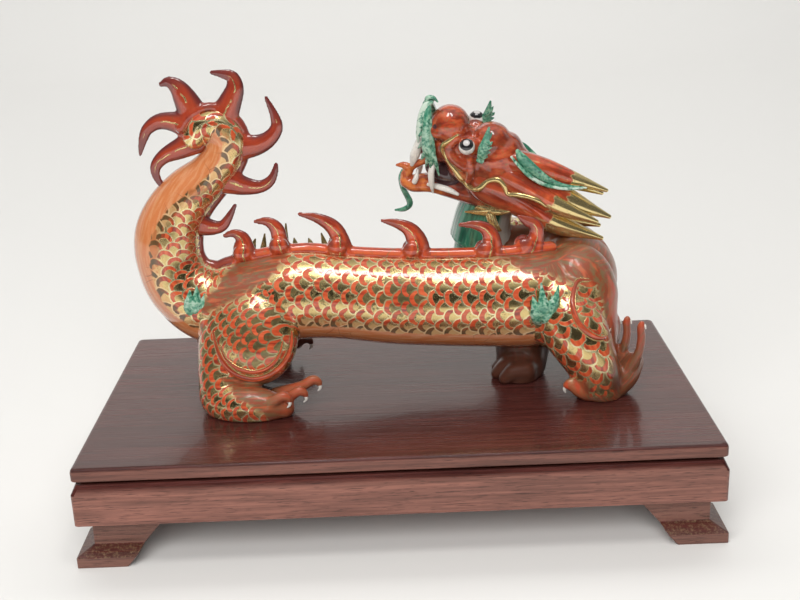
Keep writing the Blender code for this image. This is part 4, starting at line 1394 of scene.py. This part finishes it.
@dataclass
class Greens:
    """Brows, moustache, goatee, neck hair, and the flame ornaments at hip and shoulder."""

    def brows(self) -> Iterator[Shape]:
        """Leaf-like brows behind the eyes, with ragged edges."""
        for side in Side:
            lead, lean = (0, 0) if side is Side.NEAR else (4, 2)
            yield swept(HEAD.rows([(-9.5 + lead, 17, -5.5, 1.4), (-9.8 + lead, 18.2 - lean, -1, 3.0),
                                   (-9.2 + lead, 18.2 - lean, 4, 3.5), (-8.2 + lead, 17.6 - lean, 10, 2.3),
                                   (-6.8 + lead, 16.6 - lean, 17.4, 0.7)], side), 18, 8, (HEAD.far, 0.65))
            for up, reach in ((-4.5, 2.4), (-1.5, 3.6), (2.0, 3.8), (5.5, 3.4), (9.0, 2.4)):
                yield swept(HEAD.rows([(-9.4 + lead, 18.3 - lean, up, 1.7), (-11.4 + lead, 18.6 - lean, up, 1.3),
                                       (-9.6 - reach + lead, 18.3 - lean, up + 1.5, 0.45)], side), 10, 5)
            yield swept(HEAD.rows([(-8 + lead, 17 - lean, 8, 1.5), (-9.5 + lead, 16.8 - lean, 11.5, 1.1),
                                   (-9.6 + lead, 16.2 - lean, 15, 0.4)], side), 10, 5)

    def moustache(self) -> Iterator[Shape]:
        """Drooping strands over the lips, with a hook at the nose."""
        for side in Side:
            yield swept(HEAD.rows([(31, 3, 7, 1.5), (29, 7, 1.8, 2.5), (26, 10, -4.7, 3.2), (23, 11.5, -11.4, 4.0),
                                   (19.9, 12.5, -16.4, 3.8), (16.9, 13, -20.5, 2.4), (15.3, 13, -25.6, 0.7)],
                                  side), 28, 8, (HEAD.far, 0.8),
                        lambda a: 1 + 0.09 * np.cos(5 * a) + 0.05 * np.cos(3 * a + 1))
            yield swept(HEAD.rows([(19, 13, -14.5, 1.8), (14.5, 13.4, -19.5, 1.5), (11.5, 13.4, -24, 1.1),
                                   (8.4, 13, -28.8, 0.45)], side), 12, 8)
            for start, end in (((28, 8, -9), (30.5, 7.5, -12.5)), ((25.5, 10.5, -14), (27, 10, -18.5)),
                               ((22, 12, -19.5), (22.5, 12, -24)), ((19, 12.6, -21), (18.2, 12.6, -26.5))):
                middle = tuple((a + b) / 2 for a, b in zip(start, end))
                yield swept(HEAD.rows([(*start, 1.7), (*middle, 1.2), (*end, 0.4)], side), 10, 5)
        yield swept(HEAD.rows([(32, 0, 7, 2.0), (33.5, 0, 10.4, 1.7), (30.5, 0, 12.2, 1.3), (27, 0, 10.8, 0.5)]), 12, 6)

    def plumes(self) -> Iterator[Shape]:
        """Thin pale plumes in front of the moustache."""
        for side in Side:
            yield swept(HEAD.rows([(30.5, 1.5, 9.5, 1.4), (32.6, 3, 6.5, 2.3), (32.3, 5, 1, 2.7),
                                   (31.4, 6.5, -5, 2.3), (30.2, 7.5, -11, 1.5), (28.6, 8, -15.5, 0.6)], side),
                        18, 8, (HEAD.far, 0.7))

    def goatee(self) -> Iterator[Shape]:
        """Beard that hangs from the chin in a double bend."""
        yield swept(HEAD.rows([(30.5, 0, -44, 0.9), (29.6, 0, -49.5, 1.5), (26.3, 0, -55.5, 1.6),
                               (21.6, 0, -60, 1.9), (18.2, 0, -63.6, 2.0), (17.6, 0, -67.2, 1.7),
                               (20, 0, -71, 1.6), (24.5, 0, -74, 0.7)]), 18, 8,
                    None, lambda a: 1 + 0.12 * np.cos(5 * a))

    def ornaments(self) -> Iterator[Shape]:
        """Leafy flames at tail root and shoulder."""
        for side in Side:
            for x, lean, top, size in ((-121, 0.8, 71.5, 3.8), (-117, 1.2, 73.5, 4.2), (-113.4, 1.6, 69, 3.6)):
                y = across_body(-12.5, side)
                yield swept([(-117 + (x + 117) * 0.4, y, 56, 3.2), (x, y - 1.2 * -side.value, 62, size),
                             (x + lean, y, top, 0.5)], 16, 8, ((0, 1, 0), 0.6))
        for start, root, mid, tip in ((84, 4.4, 55, (81.5, -24, 63)), (88, 5.2, 58, (86.5, -23, 71)),
                                      (92, 4.6, 58, (96.5, -23, 69)), (90, 4.0, 53, (92.5, -25, 63))):
            yield swept([(88 + (start - 88) * 0.5, -20, 47, root), (start, -25, mid - 2, root),
                         (start + (tip[0] - start) * 0.6, -25.5, mid + 4, root * 0.5), (*tip, 0.5)],
                        16, 8, ((0, 1, 0), 0.62))

    def build(self) -> None:
        """Add all green pieces."""
        add_swept("dragon_brows", list(self.brows()), Green(0.1, 1.6))
        add_swept("dragon_moustache", list(self.moustache()), Green(0.35, 2.2))
        add_swept("dragon_plumes", list(self.plumes()), Green(1.2, 3.0))
        add_swept("dragon_goatee", list(self.goatee()), Green(0.1, 2.4))
        add_swept("dragon_ornaments", list(self.ornaments()), Green(0.6, 1.9))
        far = [swept([(x - lean, 24, 80, 2.6), (x - lean / 2, 26, 86, 1.8), (x, 27, top, 0.5)], 12, 6,
                     ((0, 1, 0), 0.6))
               for x, lean, top in ((-84, 3, 90), (-78, 2, 93), (-73, -2, 92.5), (-64.5, 1, 99), (-60, -1, 89.5),
                                    (-51, -2, 89), (-43, -3, 92), (-38, -4, 88.5))]
        add_swept("dragon_far_leaves", far, Gilded(1.0))

    def neck_hair(self) -> None:
        """Combed hair down the front of the neck."""
        rows = [(55, 63, 66, 15), (58.5, 66, 74, 20.2), (59.5, 60.5, 88, 18.4), (63, 55, 102, 16.8),
                (66, 51, 113, 16)]
        hair = swept(rows, 96, 10, None, lambda a: 1 + 0.006 * np.cos(30 * a) + 0.008 * np.cos(9 * a + 1))
        add_swept("dragon_neck_hair", [hair], CombedMane())


@dataclass
class Gilding:
    """Raised gold lines: the face's frill, the tuft under the jaw, and the bands on haunch and shoulder."""

    frill: tuple = ((8.2, 2.4, 0.8), (12.4, -4.5, 1.6), (13.3, -10.1, 1.9), (8.8, -15.2, 1.6), (2.0, -18.2, 1.9),
                    (-3.7, -22.2, 1.8), (-7.5, -24.6, 1.5), (-11.1, -25.9, 1.8), (-14.4, -25.0, 1.5),
                    (-17.2, -21.8, 2.0), (-19.9, -16.2, 1.6), (-25.0, -12.8, 2.1), (-29.6, -13.7, 1.6),
                    (-34.1, -17.7, 1.5), (-39.5, -15.2, 1.8), (-46.6, -12.7, 1.5), (-52.1, -12.2, 1.6),
                    (-58.2, -14.0, 0.7))

    def tuft(self) -> Iterator[Shape]:
        """Leafy gold tuft under the jaw's angle."""
        for side in Side:
            yield swept(HEAD.rows([(-36, 14, -32, 3.6), (-29, 15.5, -37, 3.4), (-22.5, 15.5, -41, 2.0),
                                   (-16, 15, -44.5, 0.6)], side), 20, 8, (HEAD.far, 0.6))
            yield swept(HEAD.rows([(-28, 14.5, -36, 2.6), (-23, 15.5, -36.6, 1.7), (-20.5, 15.5, -38.8, 0.5)],
                                  side), 14, 6)
            yield swept(HEAD.rows([(-30, 15, -38, 3.2), (-33.5, 16.4, -42, 3.0), (-38, 16.5, -45.5, 2.2),
                                   (-41, 15, -47, 0.8)], side), 18, 8)
            yield swept(HEAD.rows([(-31, 15, -36, 2.8), (-36.5, 17, -32.5, 2.1), (-42.5, 17.5, -27.5, 0.6)],
                                  side), 16, 8)

    def on_surface(self, tree: BVHTree, rows: Rows, side: Side = Side.NEAR) -> list:
        """Rows of x, z, radius laid on a surface from one side, half sunk."""
        laid = []
        for x, z, radius in rows:
            start = Vector((x, 300.0 * side.value, z))
            hit = tree.ray_cast(start, Vector((0.0, -side.value, 0.0)))[0]
            if hit:
                laid.append((x, hit.y + side.value * radius * 0.05, z, radius))
        return laid

    def bands(self, skin: BVHTree) -> tuple[list[Shape], list[Shape]]:
        """Red bands and the gold lines along them, on the near haunch and shoulder."""
        outer = ((-106.5, 49), (-104.5, 40), (-100.5, 31.5), (-94, 25.5), (-84, 22.5), (-73.5, 25),
                 (-65.5, 31.5), (-61.5, 40), (-60.8, 47))
        inner = ((-102.5, 42), (-99.5, 35), (-92.5, 29.8), (-83.5, 27.5), (-74.5, 29.8), (-68.5, 36),
                 (-66, 43.5))
        swirl = ((116, 68.5), (109, 68), (104.5, 60), (106, 51), (113, 43.5), (121, 40), (129, 38.5))
        red, gold = [], []
        for line, radius in ((outer, 1.9), (inner, 1.3), (swirl, 1.7)):
            fade = np.interp(np.arange(len(line)), [0, 2, len(line) - 3, len(line) - 1], [0.35, 1, 1, 0.35])
            laid = self.on_surface(skin, [(x, z, radius * share) for (x, z), share in zip(line, fade)])
            red.append(swept(laid, 14, 8, ((0, 1, 0), 0.32)))
            for shift in (-1.0, 1.0):
                edge = []
                path = np.array(line, dtype=float)
                normal = unit(np.gradient(path, axis=0))[:, ::-1] * np.array([1, -1])
                for (x, z), (nx, nz), share in zip(path, normal, fade):
                    reach = shift * radius * share
                    edge.append((x + nx * reach, z + nz * reach, 0.36))
                gold.append(swept(self.on_surface(skin, edge), 10, 8))
        return red, gold

    def build(self, skin: BVHTree, head: BVHTree) -> None:
        """Add all gilded lines."""
        frill = [swept(HEAD.laid(head, self.frill, side), 16, 8) for side in Side]
        add_swept("dragon_frill", frill, Gilded(0.15))
        add_swept("dragon_tuft", list(self.tuft()), Gilded(0.35))
        red, gold = self.bands(skin)
        add_swept("dragon_bands", red, Horn(2.0, 0.0))
        add_swept("dragon_band_lines", gold, Gilded(0.3))


@dataclass
class Whites:
    """Eyes, fangs, teeth and claws."""

    eye_radius: float = 5.0

    def eyes(self) -> None:
        """White balls with a black ring, looking out to the viewer's side."""
        for side, look in ((Side.NEAR, (-0.10, -0.74, 0.66)), (Side.FAR, (0.05, -0.34, 0.94))):
            pole = unit(np.array(look))
            across = unit(np.cross((0.0, 0.0, 1.0), pole))
            axes = np.stack([across, np.cross(pole, across), pole])
            centre = HEAD.place(0.5, side.value * 17, 0.0 if side is Side.NEAR else 1.5)
            add_swept(f"dragon_eye_{side.name.lower()}",
                      [ball(centre, (self.eye_radius,) * 3, axes, 40, 30)], Eye())

    def teeth(self) -> Iterator[Shape]:
        """Long upper fangs, lower canines and small side teeth."""
        for side in Side:
            drop = 0 if side is Side.NEAR else 8
            yield swept(HEAD.rows([(14.5, 11.5, -24, 1.8), (13.5, 12, -30 + drop / 3, 2.1),
                                   (10.5, 12, -37 + drop * 0.7, 1.8), (7.5, 11.5, -43 + drop, 0.6)], side), 18, 8)
            yield swept(HEAD.rows([(20.6, 6.5, -44, 1.9), (20.8, 6.8, -40, 1.6), (21.7, 6.8, -35, 0.5)],
                                  side), 14, 8)
            yield swept(HEAD.rows([(-7, 11.5, -37, 1.1), (-1, 11, -37, 1.9), (6, 9.5, -38.8, 1.9),
                                   (12, 8, -41, 1.2)], side), 14, 6, None,
                        lambda a: 1 + 0.06 * np.cos(5 * a))
            yield swept(HEAD.rows([(26.8, 5, -15, 1.8), (27.2, 5, -21, 2.8), (27, 4.5, -28, 3.0),
                                   (26.4, 4, -35, 1.2)], side), 16, 6, (HEAD.far, 0.7))

    def claws(self) -> Iterator[Shape]:
        """Curved claws at the toes' ends."""
        for side in Side:
            back = 0 if side is Side.NEAR else 9
            for outer, height, reach in Skin.hind_toes:
                y = across_body(outer, side)
                x = -back + reach
                yield swept([(-57 + x, y, 12.6 + height, 1.3), (-55.9 + x, y, 11 + height, 1.25),
                             (-56.0 + x, y, 9.2 + height, 0.95), (-57.3 + x, y, 7.8 + height, 0.4)], 14, 6)
        for y, x, top in Skin.fingers:
            yield swept([(x + 1.5, y, top - 1.4, 1.0), (x + 2.8, y, top - 2.0, 0.9), (x + 3.4, y, top - 3.8, 0.4)],
                        14, 6)
        yield swept([(101.3, -34, 11.3, 1.6), (99.8, -34, 9.8, 1.35), (99.2, -34, 7.6, 1.0),
                     (99.8, -34, 5.8, 0.4)], 14, 6)

    def build(self) -> None:
        """Add all white pieces."""
        self.eyes()
        add_swept("dragon_teeth", list(self.teeth()), Glazed())
        add_swept("dragon_claws", list(self.claws()), Glazed())


# Stand


@dataclass
class Stand:
    """Boards and feet as copies of the solids with softened edges, dressed in wood."""

    def dress(self, node: str, finish: Finish, edge: float) -> None:
        """Replace one node by a copy whose edges are rounded to this radius in millimetres."""
        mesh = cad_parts[node].data.copy()
        mesh.materials.clear()
        mesh.name = node + "_wood"
        piece = add_piece(node + "_wood", mesh, finish, Slot.WOOD, [node])
        weld = piece.modifiers.new("weld", "WELD")
        weld.merge_threshold = 0.00001
        soft = piece.modifiers.new("edges", "BEVEL")
        soft.width = edge * MM
        soft.segments = 3
        soft.limit_method = "ANGLE"
        soft.angle_limit = np.radians(30)
        mesh.shade_smooth()
        level = piece.modifiers.new("flat_faces", "WEIGHTED_NORMAL")
        level.keep_sharp = True

    def build(self) -> None:
        """Add boards and feet."""
        self.dress("plinth_top", Hardwood(face=(0.150, 0.058, 0.042)), 1.1)
        self.dress("plinth_waist", Hardwood((0.05, 0.02, 0.01), (0.075, 0.032, 0.016), 0.3, 0.5), 0.2)
        self.dress("plinth_apron", Hardwood(), 0.7)
        for depth in ("front", "back"):
            for length in ("left", "right"):
                self.dress(f"plinth_foot_{depth}_{length}",
                           Hardwood(face=(0.155, 0.068, 0.050), gloss=0.6, dust=0.85), 0.7)


# Surroundings


@dataclass
class Studio:
    """Pale floor that bends up into a backdrop, soft lights and the camera."""

    focal: float = 52.5075
    floor_colour: Colour = (0.65, 0.642, 0.622)
    dim: float = 0.03
    overhead: float = 0.62
    behind: float = 0.64
    camera_place: tuple = (0.00270, -0.66658, 0.35267)
    camera_turn: tuple = (70.4517, 2.0879, -0.8404)

    def floor(self) -> None:
        """Floor and backdrop: a straight run, a quarter circle of radius 1 m, and a rise."""
        bend = np.radians(np.linspace(0, 90, 33))
        profile_y = np.concatenate([[-4.0], 1.6 + np.sin(bend), [2.6]])
        profile_z = np.concatenate([[0.0], 1.0 - np.cos(bend), [5.0]])
        x = np.array([-5.0, 5.0])
        rows = np.stack([np.tile(x[:, None], (1, len(profile_y))), np.tile(profile_y, (2, 1)),
                         np.tile(profile_z, (2, 1))], axis=-1)
        count = len(profile_y)
        index = np.arange(count - 1)
        faces = np.stack([index, index + count, index + count + 1, index + 1], axis=-1)
        mesh = mesh_of("floor", rows.reshape(-1, 3), faces.tolist())
        mesh.materials.append(Tree("floor").finish(self.floor_colour, 0.7))
        floor = bpy.data.objects.new("floor", mesh)
        bpy.context.scene.collection.objects.link(floor)
        floor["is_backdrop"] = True

    def light(self, name: str, place: tuple, size: tuple, power: float, colour: Colour = (1.0, 1.0, 1.0),
              target: tuple = (0.0, 0.0, 0.12), mirrored: bool = True) -> None:
        """Add a rectangular light.

        Args:
            name: Its name.
            place: Where its middle is.
            size: Its width and height.
            power: Watts.
            colour: Linear colour.
            target: Where it is aimed.
            mirrored: Whether it is seen in reflections.
        """
        lamp = bpy.data.lights.new(name, "AREA")
        lamp.shape = "RECTANGLE"
        lamp.size, lamp.size_y = size
        lamp.energy = power
        lamp.color = colour
        thing = bpy.data.objects.new(name, lamp)
        thing.location = place
        aim = Vector(target) - Vector(place)
        thing.rotation_euler = aim.to_track_quat("-Z", "Y").to_euler()
        thing.visible_glossy = mirrored
        bpy.context.scene.collection.objects.link(thing)

    def sky(self) -> None:
        """World light: bright above and behind, dim at eye level on the viewer's side."""
        world = bpy.data.worlds.new("studio")
        world.use_nodes = True
        nodes, links = world.node_tree.nodes, world.node_tree.links
        place = nodes.new("ShaderNodeTexCoord")
        parts = nodes.new("ShaderNodeSeparateXYZ")
        links.new(place.outputs["Generated"], parts.inputs[0])
        height = nodes.new("ShaderNodeMapRange")
        height.interpolation_type = "SMOOTHSTEP"
        height.inputs[1].default_value = 0.62
        height.inputs[2].default_value = 0.92
        height.inputs[3].default_value = self.dim
        height.inputs[4].default_value = self.overhead
        links.new(parts.outputs[2], height.inputs[0])
        behind = nodes.new("ShaderNodeMapRange")
        behind.interpolation_type = "SMOOTHSTEP"
        behind.inputs[1].default_value = -0.10
        behind.inputs[2].default_value = 0.45
        behind.inputs[3].default_value = 0.0
        behind.inputs[4].default_value = self.behind
        links.new(parts.outputs[1], behind.inputs[0])
        total = nodes.new("ShaderNodeMath")
        total.operation = "MAXIMUM"
        links.new(height.outputs[0], total.inputs[0])
        links.new(behind.outputs[0], total.inputs[1])
        background = nodes["Background"]
        background.inputs["Color"].default_value = (1.0, 0.99, 0.97, 1.0)
        links.new(total.outputs[0], background.inputs["Strength"])
        bpy.context.scene.world = world

    def camera(self) -> None:
        """Camera at the photograph's angle."""
        lens = bpy.data.cameras.new("camera")
        lens.lens = self.focal
        lens.sensor_width = 36.0
        lens.sensor_fit = "HORIZONTAL"
        lens.clip_start = 0.01
        thing = bpy.data.objects.new("camera", lens)
        thing.location = self.camera_place
        thing.rotation_euler = np.radians(self.camera_turn)
        bpy.context.scene.collection.objects.link(thing)
        bpy.context.scene.camera = thing
        bpy.context.scene.view_settings.view_transform = "Standard"

    def build(self) -> None:
        """Add everything round the object."""
        self.floor()
        self.sky()
        self.light("window_left", (-0.15, -0.30, 1.25), (0.14, 0.40), 1.9, (1.0, 0.98, 0.96))
        self.light("window_right", (0.17, -0.30, 1.25), (0.14, 0.40), 1.9, (1.0, 0.98, 0.96))
        self.light("front", (-0.4, -1.9, 1.45), (2.8, 1.4), 70.0, mirrored=False)
        self.light("backdrop", (0.0, 1.5, 2.6), (4.0, 1.6), 62.0, target=(0.0, 2.3, 0.3), mirrored=False)
        self.camera()


def write_sizes() -> None:
    """Gather the bounds at the start and now as plain lists."""
    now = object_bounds()
    lines = [[list(map(float, corner)) for corner in bounds[:2]] for bounds in (START_BOUNDS, now)]


def main() -> None:
    """Build the dragon, its stand and the surroundings."""
    logging.basicConfig(level=logging.INFO, format="%(name)s %(message)s")
    skin = Skin()
    places, faces = skin.build()
    surface = BVHTree.FromPolygons(places.tolist(), faces.tolist())
    Crest().build(skin.spine)
    head_places, head_faces = Head().build()
    locks = Mane().build()
    corners = (locks.quads + len(head_places)).tolist() + (locks.triangles + len(head_places)).tolist()
    head = BVHTree.FromPolygons(np.vstack([head_places, locks.vertices]).tolist(),
                                head_faces.tolist() + corners)
    greens = Greens()
    greens.build()
    greens.neck_hair()
    Gilding().build(surface, head)
    Whites().build()
    Stand().build()
    Studio().build()
    write_sizes()


if __name__ == "__main__":
    main()
